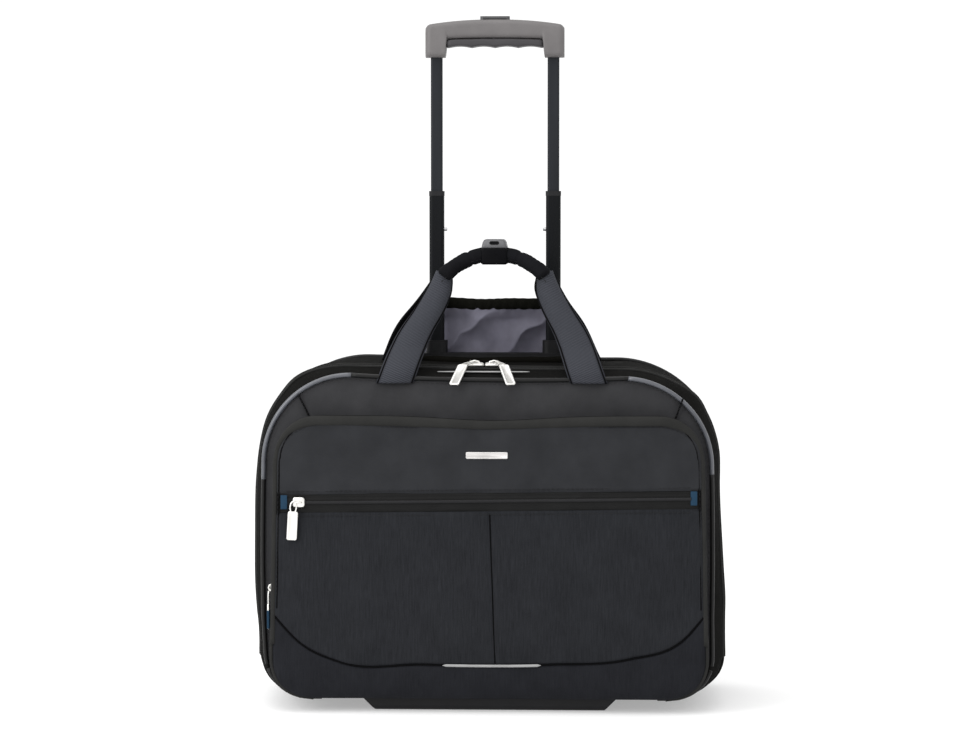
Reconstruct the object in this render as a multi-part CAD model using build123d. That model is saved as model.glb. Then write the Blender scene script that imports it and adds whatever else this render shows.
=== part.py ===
from build123d import *
import math
import os

# A soft-sided pilot rolling case with a telescopic trolley, in millimetres.
# X runs to the right of a person facing the front pocket, Y from the front pocket to the back,
# Z up. The origin is the centre of the footprint, on the floor.

# ---- driving dimensions ----
BODY_HALF_WIDTH = 223.0          # half of the case's width, at the gusset
BODY_BOTTOM = 12.0               # underside of the fabric body
BODY_TOP = 324.0                 # top of the gusset
CORNER_TOP = 98.0                # radius of the upper corners
CORNER_TAPER = 16.0              # how much tighter those corners are at the front
CORNER_BOTTOM = 50.0             # radius of the lower corners
WALL = 3.0                       # laminated fabric wall

REAR = 84.0                      # inner face of the back panel
BACK_THICK = 3.5
BACK_FACE = REAR + BACK_THICK
ZIP_REAR = -42.0                 # where the gusset ends at the main zip
ZIP_TAPE = 2.0                   # depth of each half of the zip's tape
ZIP_SPLIT = 0.4                  # gap between the two halves of the tape
MAIN_ZIP_END = 46.0              # the main zip stops at this height on both sides
FRONT = -83.0                    # outer face of the front board
FRONT_INSET = 13.0               # how much narrower the front outline is, on each side
FRONT_TOP_DROP = 11.0            # how much lower the front outline's top is
LID_HINGE_Z = 42.0               # the lid folds down about this height
LID_GAP = 0.6
DIVIDER_Y = 63.5                 # back face of the lining in front of the trolley
DIVIDER_THICK = 2.5
BASE_BOARD = (168.0, -38.0, 60.0, 3.0)     # half width, front, back, thickness
FAR = 400.0                      # larger than the case, for cutting

POCKET_FACE = -104.0             # outer face of the front pocket
POCKET_TOP = 279.0
POCKET_HALF_TOP = 199.0
POCKET_HALF_BOTTOM = 203.5
POCKET_HINGE_Z = 111.0
POCKET_BOTTOM = 45.0
POCKET_UNDERCUT = 4.0            # how far the face draws in below POCKET_BEND
POCKET_BEND = 70.0
LOWER_INSET = 7.0                # how far inside the body's outline the lower pocket ends
POCKET_DROP = 60.0               # the outline's sides run this far below the hinge
POCKET_CORNER = 40.0
POCKET_WALL = 2.0
POCKET_SKIN = 2.5
POCKET_ZIP_DEPTH = 2.4
POCKET_ZIP_GAP = 0.5
STRIP = (-47.0, 45.0, 3.0, 1.2)            # left and right end, height, thickness
SPINDLE = (-6.0, -66.0, 43.5, 1.6, 0.8)    # middle x and y, half length, half width, thickness
SPINDLE_DROP = 5.4               # how far below the body's top it lies
REFLECTIVE_X = 128.0             # the piping is reflective outside of this
REFLECTIVE_Z = 222.0             # and above this
PIPING_R = 3.2                   # how far the front piping stands out
BACK_PIPING = 2.6                # how far the back piping stands out

FACE_ZIP_Z = 201.5               # height of the horizontal zip at the middle
FACE_ZIP_HALF = 192.0
FACE_ZIP_HEIGHT = 15.0
FACE_ZIP_TILT = 0.74             # degrees by which that zip rises to the right
FACE_SLIDER_X = -178.0
END_TAB = (5.6, 12.0, 1.4)       # width, height and thickness of the tabs at its ends
NAMEPLATE = (-21.0, 18.2, 240.8, 247.3, 1.2)

TUBE_X = 57.5                    # the trolley tubes stand at plus and minus this
TUBE_Y = 74.0
FIXED_TUBE = (18.0, 14.0, 15.6, 11.6)      # outer width and depth, inner width and depth
MIDDLE_TUBE = (14.6, 10.6, 12.4, 8.4)
INNER_TUBE = (11.6, 7.6, 9.6, 5.6)
FIXED_SPAN = (26.0, 336.0)
MIDDLE_SPAN = (190.0, 486.0)
INNER_SPAN = (440.0, 638.0)
MIDDLE_TOP = 490.7
COLLAR_TOP = 343.5
COLLAR_OUTER = (21.0, 19.0)
TRAY = (84.0, 64.0, 313.0, 331.0)          # trolley housing: half width, front, underside, top
TRAY_HOLLOW = (44.0, 67.0, 81.0, 316.0)    # half width, front, back, floor
TRAY_CORNER = 5.0
SLIP = 0.8                       # sliding clearance of the tubes, across
TUBE_ROUND = 0.32                # the tubes' corner radius, as a share of their depth
FOOT_BAR = (76.0, 66.0, 20.0, 36.0)        # half width, front, underside, top
PIN_Z = 453.0
PIN_R = 1.75
PIN_TIP = 47.2                   # how near the middle the lock pins reach
PIN_ROOT = 55.5
SLOT_WIDTH = 4.4                 # running slot for the lock pins
MIDDLE_SLOT = (318.0, 458.0)
FIXED_SLOT_LOW = 172.0

GRIP_HALF = 68.3
GRIP_DEPTH = 24.0
GRIP_LEG = 20.0
GRIP_LEG_BOTTOM = 621.7
GRIP_UNDER = 631.5
GRIP_PARTING = 640.0
GRIP_TOP = 660.0
GRIP_END_TOP = 654.5
GRIP_CORNER = 7.0
WAVE_STEP = 23.0                 # spacing of the finger waves
WAVE_R = 25.0
WAVE_RISE = 2.5                  # how far a wave rises into the underside
CAVITY = (62.5, 9.0, 636.0, 656.0)         # half width, half depth, floor, roof
BUTTON = (29.0, 12.0, 662.0)
BUTTON_GAP = 0.5
YOKE = (60.0, 4.0, 646.0, 651.0)
ROD_R = 1.3
ROD_BOTTOM = 460.0

WHEEL_X = 178.0
WHEEL_Y = 77.5
WHEEL_R = 32.0
WHEEL_WIDTH = 24.0
TYRE_INNER = 23.0
BEARING_R = 8.0
BEARING_WIDTH = 5.0
AXLE_R = 4.0
RUNNING_GAP = 0.05
HOUSING_HALF = 22.0
HOUSING_WALL = 7.0
HOUSING_FRONT = 36.0
HOUSING_BACK = 92.0
HOUSING_TOP = 74.0
HOUSING_ROOF = 4.0
HOUSING_ROUND = 18.0
AXLE_LENGTH = 38.0
HUB_DISH = (19.0, 10.0, 4.0)     # outer and inner radius, and depth
HUB_HOLES = (5, 14.5, 3.6)       # count, distance from the middle, radius
KICK_PLATE = (152.0, 16.0, 72.0, 3.0)      # half width, bottom, top, thickness
SCREW_PLACES = ((-136.0, -45.0, 45.0, 136.0), (26.0, 60.0))
SCREW_HEAD = (4.0, 1.6, 0.7)     # radius, height, chamfer
SKID = (108.0, 120.0, -44.0, 32.0, 5.0)    # half width low and high, back, depth, rounding

STRAP_X = 91.5                   # middle of the carry handles' feet
STRAP_WIDTH = 38.0
STRAP_THICK = 2.2
GRIP_SPAN = 48.0                 # half of the padded grips' span
GRIP_R = 6.5
GRIP_HIGH = 429.5                # middle of the grips' arch
GRIP_LOW = 412.0                 # middle of the grips' ends
CLIP_HALF = 12.85
CLIP_SPAN = (420.0, 444.0)
CLIP_FACE = 0.3                  # the clip's two halves meet at this far from the middle
CLIP_BACK = 17.5
FRONT_FOOT_Y = -85.5
FRONT_FOOT_Z = 317.3
REAR_FOOT_Y = 52.0
REAR_FOOT_Z = 327.0
GRIP_Y = 9.0

FLAP_HALF = 77.0
FLAP_BOTTOM = 331.0
FLAP_TOP = 387.0
FLAP_FRONT = 86.6
FLAP_THICK = 2.6
ELASTIC_HEIGHT = 11.0

PULL_LENGTH = 31.0
PULL_SPLAY = 32.0                # degrees by which the main pulls lie apart
PULL_SLOPE = 19.0                # and by which they lean down towards the front
PULL_WIDTH = 9.0
PULL_THICK = 1.6
RING_R = 3.4
SIDE_SLIDER_X = -203.6
SIDE_SLIDER_Z = 118.0
SIDE_ZIP_Y = -93.0
MAIN_SLIDER_X = -6.0
MAIN_SLIDER_HALF = 9.3
MAIN_SLIDER_GAP = 0.4

os.makedirs("parts", exist_ok=True)


def block(x0, x1, y0, y1, z0, z1):
    """A box given by its lowest and highest coordinates."""
    centre = ((x0 + x1) / 2, (y0 + y1) / 2, (z0 + z1) / 2)
    return Pos(*centre) * Box(x1 - x0, y1 - y0, z1 - z0)


def facing(y):
    """The upright plane at depth y, whose normal points to the front."""
    return Plane(origin=(0, y, 0), x_dir=(1, 0, 0), z_dir=(0, -1, 0))


def rounded_outline(half_low, half_high, z_low, z_high, r_low, r_high):
    """The case's front outline, in the plane of a sketch, with its own radius at each pair of corners."""
    points = [(-half_low, z_low), (half_low, z_low), (half_high, z_high), (-half_high, z_high)]
    face = make_face(Polyline(*points, close=True))
    low = [v for v in face.vertices() if v.Y < (z_low + z_high) / 2]
    face = fillet(low, r_low)
    high = [v for v in face.vertices() if v.Y > z_high - 1.0]
    return fillet(high, r_high)


def body_outline(grow=0.0, taper=0.0):
    """The gusset's outline, grown outwards, and drawn in for the front where taper is 1."""
    half = BODY_HALF_WIDTH - FRONT_INSET * taper + grow
    top = BODY_TOP - FRONT_TOP_DROP * taper + grow
    bottom = BODY_BOTTOM + 2.0 * taper - grow
    upper = CORNER_TOP - CORNER_TAPER * taper + grow
    return rounded_outline(half, half, bottom, top, CORNER_BOTTOM + grow, upper)


def straight_ring(y_back, y_front, outer, inner):
    """A ring between two outlines, from one depth forward to another."""
    depth = y_back - y_front
    return extrude(facing(y_back) * outer, depth) - extrude(facing(y_back) * inner, depth)


def front_taper(grow):
    """The solid that narrows from the gusset's outline to the front's."""
    back = facing(ZIP_REAR) * body_outline(grow)
    front = facing(FRONT + WALL) * body_outline(grow, 1.0)
    return loft([back, front])


def above(shape, z):
    """What lies above a height."""
    return shape & block(-FAR, FAR, -FAR, FAR, z, 2 * FAR)


def below(shape, z):
    """What lies below a height."""
    return shape & block(-FAR, FAR, -FAR, FAR, -FAR, z)


def tube(width, depth, inner_width, inner_depth, span, x):
    """A flat-sided oval tube standing at x on the trolley's line."""
    outer = RectangleRounded(width, depth, depth * TUBE_ROUND)
    inner = RectangleRounded(inner_width, inner_depth, inner_depth * TUBE_ROUND)
    ring = extrude(outer - inner, span[1] - span[0])
    return Pos(x, TUBE_Y, span[0]) * ring


def tube_plug(width, depth, span, x):
    """A filled oval bar standing at x on the trolley's line."""
    bar = extrude(RectangleRounded(width, depth, depth * TUBE_ROUND), span[1] - span[0])
    return Pos(x, TUBE_Y, span[0]) * bar


def pin_slot(side, z_low, z_high):
    """The room that a lock pin runs through, on the inward side of a tube."""
    x_near = side * (PIN_TIP - 1)
    x_far = side * TUBE_X
    half = SLOT_WIDTH / 2
    return block(min(x_near, x_far), max(x_near, x_far), TUBE_Y - half, TUBE_Y + half, z_low, z_high)


def pair(make):
    """The left and right copies of a piece, made by a function of the side."""
    return Compound(children=[make(-1), make(1)])


# ---- case body ----
def housing_room(side):
    """The corner that a wheel housing fills."""
    x = side * WHEEL_X
    return block(x - HOUSING_HALF, x + HOUSING_HALF, HOUSING_FRONT, HOUSING_BACK, BODY_BOTTOM, HOUSING_TOP)


def trolley_housing_room():
    """The slot in the top of the gusset that the trolley's top housing fills."""
    half, front, low, high = TRAY
    return block(-half, half, front, REAR, low, high + WALL)


def make_gusset():
    ring = straight_ring(REAR, ZIP_REAR, body_outline(), body_outline(-WALL))
    return ring - housing_room(-1) - housing_room(1) - trolley_housing_room()


def make_back_panel():
    panel = extrude(facing(BACK_FACE) * body_outline(-0.5), BACK_THICK)
    return panel - housing_room(-1) - housing_room(1)


def make_front_base():
    """The lower front band, which stays with the case when the lid folds down."""
    ring = front_taper(0.0) - front_taper(-WALL)
    face = extrude(facing(FRONT + WALL) * body_outline(0.0, 1.0), WALL)
    return below(ring + face, LID_HINGE_Z)


def make_base_board():
    half, front, back, thick = BASE_BOARD
    floor = BODY_BOTTOM + WALL
    board = block(-half, half, front, back, floor, floor + thick)
    return board - housing_room(-1) - housing_room(1)


def make_divider_lining():
    panel = extrude(facing(DIVIDER_Y) * body_outline(-WALL - 0.5), DIVIDER_THICK)
    return panel - housing_room(-1) - housing_room(1)


def make_trolley_housing():
    half, front, low, high = TRAY
    tray = block(-half, half, front, REAR, low, high)
    tray = fillet(tray.edges().filter_by(Axis.Z), TRAY_CORNER)
    through = (low - 1, COLLAR_TOP + 1)
    for side in (-1, 1):
        x = side * TUBE_X
        tray += tube_plug(*COLLAR_OUTER, (high, COLLAR_TOP), x)
        tray -= tube_plug(FIXED_TUBE[0], FIXED_TUBE[1], (low - 1, FIXED_SPAN[1]), x)
        tray -= tube_plug(MIDDLE_TUBE[0] + SLIP, MIDDLE_TUBE[1] + SLIP, through, x)
        tray -= pin_slot(side, *through)
    hollow_half, hollow_front, hollow_back, floor = TRAY_HOLLOW
    return tray - block(-hollow_half, hollow_half, hollow_front, hollow_back, floor, high + 1)


def make_tube_foot():
    half, front, low, high = FOOT_BAR
    bar = block(-half, half, front, REAR, low, high)
    bar = fillet(bar.edges().filter_by(Axis.Z), TRAY_CORNER - 1)
    for side in (-1, 1):
        bar -= tube_plug(FIXED_TUBE[0], FIXED_TUBE[1], (FIXED_SPAN[0], high + 1), side * TUBE_X)
    return bar


def make_fixed_tube(side):
    body = tube(*FIXED_TUBE, FIXED_SPAN, side * TUBE_X)
    return body - pin_slot(side, FIXED_SLOT_LOW, FIXED_SPAN[1] + 1)


def front_top_rounded(shape, radius):
    """A box with its upper front edge rounded, where the wheel comes nearest."""
    edge = shape.edges().filter_by(Axis.X).group_by(Axis.Y)[0].sort_by(Axis.Z)[-1]
    return fillet(edge, radius)


def make_wheel_housing(side):
    x = side * WHEEL_X
    shell = front_top_rounded(housing_room(side), HOUSING_ROUND)
    inner = HOUSING_HALF - HOUSING_WALL
    front = HOUSING_FRONT + HOUSING_ROOF + 1
    room = block(x - inner, x + inner, front, FAR, -FAR, HOUSING_TOP - HOUSING_ROOF)
    return shell - front_top_rounded(room, HOUSING_ROUND - HOUSING_ROOF) - make_axle(side)


def make_axle(side):
    return Pos(side * WHEEL_X, WHEEL_Y, WHEEL_R) * Rot(0, 90, 0) * Cylinder(AXLE_R, AXLE_LENGTH)


def make_front_foot():
    low, high, back, depth, rounding = SKID
    points = [(-low, 0), (low, 0), (high, BODY_BOTTOM), (-high, BODY_BOTTOM)]
    skid = extrude(facing(back) * make_face(Polyline(*points, close=True)), depth)
    return fillet(skid.edges().filter_by(Axis.X).group_by(Axis.Z)[0], rounding)


def make_kick_plate():
    half, low, high, thick = KICK_PLATE
    plate = block(-half, half, BACK_FACE, BACK_FACE + thick, low, high)
    plate = fillet(plate.edges().filter_by(Axis.Y).group_by(Axis.Z)[-1], HOUSING_ROUND)
    return fillet(plate.edges().filter_by(Axis.Y).group_by(Axis.Z)[0], HOUSING_ROUND / 3)


def make_housing_screws():
    """Round-headed screws that hold the kick plate."""
    heads = []
    radius, height, edge = SCREW_HEAD
    y = BACK_FACE + KICK_PLATE[3] + height / 2
    for x in SCREW_PLACES[0]:
        for z in SCREW_PLACES[1]:
            head = Pos(x, y, z) * Rot(90, 0, 0) * Cylinder(radius, height)
            heads.append(chamfer(head.edges().group_by(Axis.Y)[-1], edge))
    return Compound(children=heads)


def make_back_piping():
    ring = straight_ring(BACK_FACE, REAR, body_outline(BACK_PIPING), body_outline(0.0))
    for side in (-1, 1):
        x = side * WHEEL_X
        ring -= block(x - HOUSING_HALF, x + HOUSING_HALF, 0, FAR, -FAR, HOUSING_TOP)
    return ring


def zip_tape(y_back):
    """One half of the main zip's tape, over the top and down both sides."""
    ring = straight_ring(y_back, y_back - ZIP_TAPE, body_outline(0.4), body_outline(-WALL))
    return above(ring, MAIN_ZIP_END)


# ---- front section ----
LID_BACK = ZIP_REAR - 2 * ZIP_TAPE - ZIP_SPLIT


def make_front_shell():
    ring = front_taper(0.0) - front_taper(-WALL)
    ring = ring & block(-FAR, FAR, -FAR, LID_BACK, 0, FAR)
    return above(ring, LID_HINGE_Z + LID_GAP)


def make_front_board():
    board = extrude(facing(FRONT + WALL) * body_outline(0.0, 1.0), WALL)
    return above(board, LID_HINGE_Z + LID_GAP)


def piping_ring():
    ring = straight_ring(FRONT + WALL, FRONT - 1.0, body_outline(PIPING_R, 1.0), body_outline(0.0, 1.0))
    return above(ring, LID_HINGE_Z + LID_GAP)


def corner_rooms():
    """The two upper corners, where the piping is reflective."""
    left = block(-FAR, -REFLECTIVE_X, -FAR, 0, REFLECTIVE_Z, FAR)
    right = block(REFLECTIVE_X, FAR, -FAR, 0, REFLECTIVE_Z, FAR)
    return [left, right]


def make_front_piping():
    ring = piping_ring()
    for room in corner_rooms():
        ring -= room
    return ring


def make_reflective_piping():
    return Compound(children=[(piping_ring() & room).solid() for room in corner_rooms()])


def make_reflective_strips():
    """A spindle-shaped strip on top of the lid and a straight one at the foot of the front panel."""
    x, y, half_length, half_width, thick = SPINDLE
    spindle = extrude(Ellipse(half_length, half_width), thick)
    top = Pos(x, y, BODY_TOP - SPINDLE_DROP) * spindle
    left, right, height, stand = STRIP
    face = POCKET_FACE + POCKET_UNDERCUT
    low = block(left, right, face - stand, face, POCKET_BOTTOM, POCKET_BOTTOM + height)
    return Compound(children=[top, low])


def pocket_outline(grow=0.0):
    """The front pocket's outline, wider towards the bottom."""
    points = [
        (-POCKET_HALF_BOTTOM - grow, POCKET_HINGE_Z - POCKET_DROP),
        (POCKET_HALF_BOTTOM + grow, POCKET_HINGE_Z - POCKET_DROP),
        (POCKET_HALF_TOP + grow, POCKET_TOP + grow),
        (-POCKET_HALF_TOP - grow, POCKET_TOP + grow),
    ]
    face = make_face(Polyline(*points, close=True))
    high = [v for v in face.vertices() if v.Y > POCKET_TOP - 10]
    return fillet(high, POCKET_CORNER + grow)


def make_pocket_zip_tape():
    """The zip around the pocket's top and sides, on the front board."""
    front = FRONT - POCKET_ZIP_DEPTH
    ring = straight_ring(FRONT, front, pocket_outline(0.6), pocket_outline(-5.0))
    return above(ring, POCKET_HINGE_Z + 0.5)


def make_lower_pocket():
    """The pocket's lower part, sewn into the front, which the pocket panel folds down from."""
    back = FRONT
    low_face = POCKET_FACE + POCKET_UNDERCUT
    top = POCKET_HINGE_Z - 0.4
    step = POCKET_BOTTOM + STRIP[2]
    skin = POCKET_SKIN
    outer = [(back, POCKET_BOTTOM), (low_face, POCKET_BOTTOM), (low_face, step),
             (POCKET_FACE, POCKET_BEND), (POCKET_FACE, top), (back, top)]
    inner = [(back + 1, POCKET_BOTTOM + skin), (low_face + skin, POCKET_BOTTOM + skin),
             (low_face + skin, step), (POCKET_FACE + skin, POCKET_BEND),
             (POCKET_FACE + skin, top + 5), (back + 1, top + 5)]
    half = BODY_HALF_WIDTH
    side = Plane(origin=(-half, 0, 0), x_dir=(0, 1, 0), z_dir=(1, 0, 0))
    solid = extrude(side * make_face(Polyline(*outer, close=True)), 2 * half)
    room = extrude(side * make_face(Polyline(*inner, close=True)), 2 * half)
    trim = extrude(facing(0) * body_outline(-LOWER_INSET, 1.0), FAR)
    room_trim = extrude(facing(0) * body_outline(-LOWER_INSET - WALL, 1.0), FAR)
    return (solid & trim) - (room & room_trim)


# ---- pocket panel ----
def make_pocket_shell():
    back = FRONT - POCKET_ZIP_DEPTH - POCKET_ZIP_GAP
    outer = extrude(facing(back) * pocket_outline(), back - POCKET_FACE)
    inner = extrude(facing(back) * pocket_outline(-POCKET_WALL), back - POCKET_FACE - POCKET_SKIN)
    return above(outer - inner, POCKET_HINGE_Z)


def make_nameplate():
    left, right, low, high, thick = NAMEPLATE
    plate = block(left, right, POCKET_FACE - thick, POCKET_FACE, low, high)
    return fillet(plate.edges().filter_by(Axis.Y), thick * 2.5)


def tilted(shape):
    """A piece of the horizontal zip, turned by its tilt about the middle of the face."""
    return Pos(0, 0, FACE_ZIP_Z) * Rot(0, -FACE_ZIP_TILT, 0) * Pos(0, 0, -FACE_ZIP_Z) * shape


def make_face_zip_tape():
    half = FACE_ZIP_HEIGHT / 2
    strip = block(-FACE_ZIP_HALF + 4, FACE_ZIP_HALF - 4, POCKET_FACE - 1, POCKET_FACE,
                  FACE_ZIP_Z - half, FACE_ZIP_Z + half)
    return tilted(strip)


def make_zip_end_tab(side):
    width, height, thick = END_TAB
    x = side * (FACE_ZIP_HALF - 1.2)
    tab = block(x - width / 2, x + width / 2, POCKET_FACE - thick, POCKET_FACE,
                FACE_ZIP_Z - height / 2, FACE_ZIP_Z + height / 2)
    return tilted(tab)


# ---- zip sliders and pulls ----
def slider_block(length, width, height):
    """A zip slider's body, pointed at one end, with its bail on top, lying along X."""
    half = length / 2
    points = [(-half, -width / 2), (half - 4, -width / 2), (half, -width / 4),
              (half, width / 4), (half - 4, width / 2), (-half, width / 2)]
    base = extrude(make_face(Polyline(*points, close=True)), height)
    bail = Pos(0, 0, height + 0.7) * Box(length * 0.55, 2.4, 1.4)
    return base + bail


def make_main_slider(side):
    slider = slider_block(2 * MAIN_SLIDER_HALF - 2 * MAIN_SLIDER_GAP, 9.0, 3.6)
    x = MAIN_SLIDER_X + side * MAIN_SLIDER_HALF
    turn = 0 if side < 0 else 180
    y = ZIP_REAR - ZIP_TAPE - ZIP_SPLIT / 2
    return Pos(x, y, BODY_TOP + 0.8) * Rot(0, 0, turn) * slider


def pull_shape(length):
    """A flat pull that hangs along -Y from its ring at the origin."""
    neck = 5.5
    tab = Pos(0, -(length + neck) / 2, 0) * Box(PULL_WIDTH, length - neck, PULL_THICK)
    tab = fillet(tab.edges().filter_by(Axis.Z), 2.0)
    ring = Pos(0, -RING_R, 0) * Cylinder(RING_R, PULL_THICK)
    return tab + ring - Pos(0, -RING_R, 0) * Cylinder(RING_R - 1.5, 9)


def main_pull_place(side):
    """Where a main pull's hinge is, and how it lies: out to its side and down the lid's slope."""
    x = MAIN_SLIDER_X + side * (MAIN_SLIDER_HALF + 2.5)
    y = ZIP_REAR - ZIP_TAPE - 6.6
    return Pos(x, y, BODY_TOP + 4.2) * Rot(0, 0, side * PULL_SPLAY) * Rot(PULL_SLOPE, 0, 0)


def make_main_pull(side):
    return main_pull_place(side) * pull_shape(PULL_LENGTH)


def make_face_slider():
    base = slider_block(10.0, 9.0, 2.6)
    upright = Pos(FACE_SLIDER_X, POCKET_FACE - 1.4, FACE_ZIP_Z) * Rot(90, 0, 0) * base
    return tilted(upright)


def make_face_pull():
    hang = Pos(FACE_SLIDER_X - 3.4, POCKET_FACE - 3.0, FACE_ZIP_Z - 7.6) * Rot(90, 0, 0)
    pull = pull_shape(30.0)
    return hang * Pos(0, 0, PULL_THICK / 2) * pull


def make_side_slider():
    base = slider_block(11.0, 8.0, 2.2)
    return Pos(SIDE_SLIDER_X, SIDE_ZIP_Y, SIDE_SLIDER_Z) * Rot(0, -90, 0) * base


def make_side_pull():
    pull = pull_shape(34.0)
    hang = Pos(SIDE_SLIDER_X - 4.4, SIDE_ZIP_Y, SIDE_SLIDER_Z - 6.4)
    return hang * Rot(0, -90, 0) * Rot(0, 0, -90) * pull


# ---- carry handles ----
def handle_plane(foot_y, foot_z, grip_y):
    """The leaning plane that a carry handle lies in, its own Y running up the straps."""
    rise = GRIP_HIGH - foot_z
    run = grip_y - foot_y
    length = math.hypot(rise, run)
    normal = (0, -rise / length, run / length)
    return Plane(origin=(0, foot_y, foot_z), x_dir=(1, 0, 0), z_dir=normal), length, rise / length


def grip_arc(foot_z, length, lean):
    """The arch that the padded grip follows, in its plane: radius and centre height."""
    drop = (GRIP_HIGH - GRIP_LOW) / lean
    radius = (GRIP_SPAN ** 2 + drop ** 2) / (2 * drop)
    return radius, length - radius, length - drop


def make_straps(foot_y, foot_z, grip_y):
    """One webbing that rises from two feet and runs through the padded grip."""
    plane, length, lean = handle_plane(foot_y, foot_z, grip_y)
    radius, centre, end = grip_arc(foot_z, length, lean)
    band = Pos(0, centre) * (Circle(radius + 4) - Circle(radius - 4))
    band = band & (Pos(0, end + 200) * Rectangle(400, 400))
    sketch = band
    half = STRAP_WIDTH / 2
    for side in (-1, 1):
        points = [
            (side * (STRAP_X + half), 0),
            (side * (STRAP_X + half - 20), end * 0.56),
            (side * (GRIP_SPAN + 3.2), end + 3),
            (side * (GRIP_SPAN - 3.6), end - 1),
            (side * (GRIP_SPAN + 2), end * 0.72),
            (side * (STRAP_X - half), 0),
        ]
        sketch += make_face(Polyline(*points, close=True))
    return extrude(plane * sketch, STRAP_THICK / 2, both=True)


def make_grip_tube(foot_y, foot_z, grip_y):
    plane, length, lean = handle_plane(foot_y, foot_z, grip_y)
    radius, centre, end = grip_arc(foot_z, length, lean)
    arc = plane * ThreePointArc((-GRIP_SPAN, end), (0, length), (GRIP_SPAN, end))
    start = Plane(origin=arc @ 0, z_dir=arc % 0)
    return sweep(start * Circle(GRIP_R), path=arc)


def make_clip(side):
    y_near = side * CLIP_FACE
    y_far = side * CLIP_BACK
    cap = block(-CLIP_HALF, CLIP_HALF, min(y_near, y_far), max(y_near, y_far), *CLIP_SPAN)
    return fillet(cap.edges().filter_by(Axis.Y), 3)


# ---- trolley ----
def make_middle_tube(side):
    body = tube(*MIDDLE_TUBE, MIDDLE_SPAN, side * TUBE_X)
    return body - pin_slot(side, *MIDDLE_SLOT)


def make_middle_cap(side):
    span = (MIDDLE_SPAN[1], MIDDLE_TOP)
    hole = (INNER_TUBE[0] + 0.8, INNER_TUBE[1] + 0.8)
    return tube(15.2, 11.2, *hole, span, side * TUBE_X)


def make_inner_tube(side):
    body = tube(*INNER_TUBE, INNER_SPAN, side * TUBE_X)
    hole = Pos(side * (TUBE_X - 6), TUBE_Y, PIN_Z) * Rot(0, 90, 0) * Cylinder(PIN_R + 0.4, 8)
    return body - hole


def grip_cavity():
    half_x, half_y, low, high = CAVITY
    return block(-half_x, half_x, TUBE_Y - half_y, TUBE_Y + half_y, low, high)


def make_grip_lower():
    """The grip's lower shell: two legs and an underside with four finger waves."""
    body = block(-GRIP_HALF, GRIP_HALF, TUBE_Y - GRIP_DEPTH / 2, TUBE_Y + GRIP_DEPTH / 2,
                 GRIP_LEG_BOTTOM, GRIP_PARTING)
    body = fillet(body.edges().filter_by(Axis.Z), GRIP_CORNER)
    gap = GRIP_HALF - GRIP_LEG
    body -= block(-gap, gap, 0, FAR, 0, GRIP_UNDER)
    for step in range(4):
        x = (step - 1.5) * WAVE_STEP
        wave = Rot(90, 0, 0) * Cylinder(WAVE_R, 2 * GRIP_DEPTH)
        body -= Pos(x, TUBE_Y, GRIP_UNDER + WAVE_RISE - WAVE_R) * wave
    for side in (-1, 1):
        body -= tube_plug(INNER_TUBE[0], INNER_TUBE[1], INNER_SPAN, side * TUBE_X)
    return body - grip_cavity()


def make_grip_top():
    """The grip's upper shell, whose top edge arches over the button."""
    drop = GRIP_TOP - GRIP_END_TOP
    radius = (GRIP_HALF ** 2 + drop ** 2) / (2 * drop)
    y_back = TUBE_Y + GRIP_DEPTH / 2
    slab = block(-GRIP_HALF, GRIP_HALF, TUBE_Y - GRIP_DEPTH / 2, y_back, GRIP_PARTING, GRIP_TOP)
    slab = fillet(slab.edges().filter_by(Axis.Z), GRIP_CORNER)
    dome = Pos(0, TUBE_Y, GRIP_TOP - radius) * Rot(90, 0, 0) * Cylinder(radius, GRIP_DEPTH)
    slab = slab & dome
    half_x, half_y = BUTTON[0] / 2 + BUTTON_GAP, BUTTON[1] / 2 + BUTTON_GAP
    slab -= block(-half_x, half_x, TUBE_Y - half_y, TUBE_Y + half_y, GRIP_PARTING, GRIP_TOP + 5)
    return slab - (grip_cavity() & block(-FAR, FAR, 0, FAR, 0, YOKE[3] + 1))


def make_button_spring():
    helix = Helix(pitch=1.9, height=7.6, radius=3.0)
    section = Plane(origin=helix @ 0, z_dir=helix % 0) * Circle(0.4)
    coil = sweep(section, path=helix)
    return Pos(0, TUBE_Y, 637.3) * coil


def make_release_button():
    """The button and the yoke under it that carries both push rods."""
    cap = block(-BUTTON[0] / 2, BUTTON[0] / 2, TUBE_Y - BUTTON[1] / 2, TUBE_Y + BUTTON[1] / 2,
                YOKE[3], BUTTON[2])
    cap = fillet(cap.edges().filter_by(Axis.Z), 3)
    half_x, half_y, low, high = YOKE
    return cap + block(-half_x, half_x, TUBE_Y - half_y, TUBE_Y + half_y, low, high)


def make_push_rod(side):
    span = YOKE[2] - ROD_BOTTOM
    return Pos(side * TUBE_X, TUBE_Y, ROD_BOTTOM + span / 2) * Cylinder(ROD_R, span)


def make_lock_pin(side):
    length = PIN_ROOT - PIN_TIP
    middle = side * (PIN_ROOT + PIN_TIP) / 2
    pin = Pos(middle, TUBE_Y, PIN_Z) * Rot(0, 90, 0) * Cylinder(PIN_R, length)
    tip = pin.edges().sort_by(Axis.X)[-1 if side < 0 else 0]
    return chamfer(tip, 0.5)


# ---- wheels ----
def make_tyre(side):
    ring = Cylinder(WHEEL_R, WHEEL_WIDTH)
    ring = fillet(ring.edges(), 5)
    ring -= Cylinder(TYRE_INNER, 2 * WHEEL_WIDTH)
    return Pos(side * WHEEL_X, WHEEL_Y, WHEEL_R) * Rot(0, 90, 0) * ring


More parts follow.
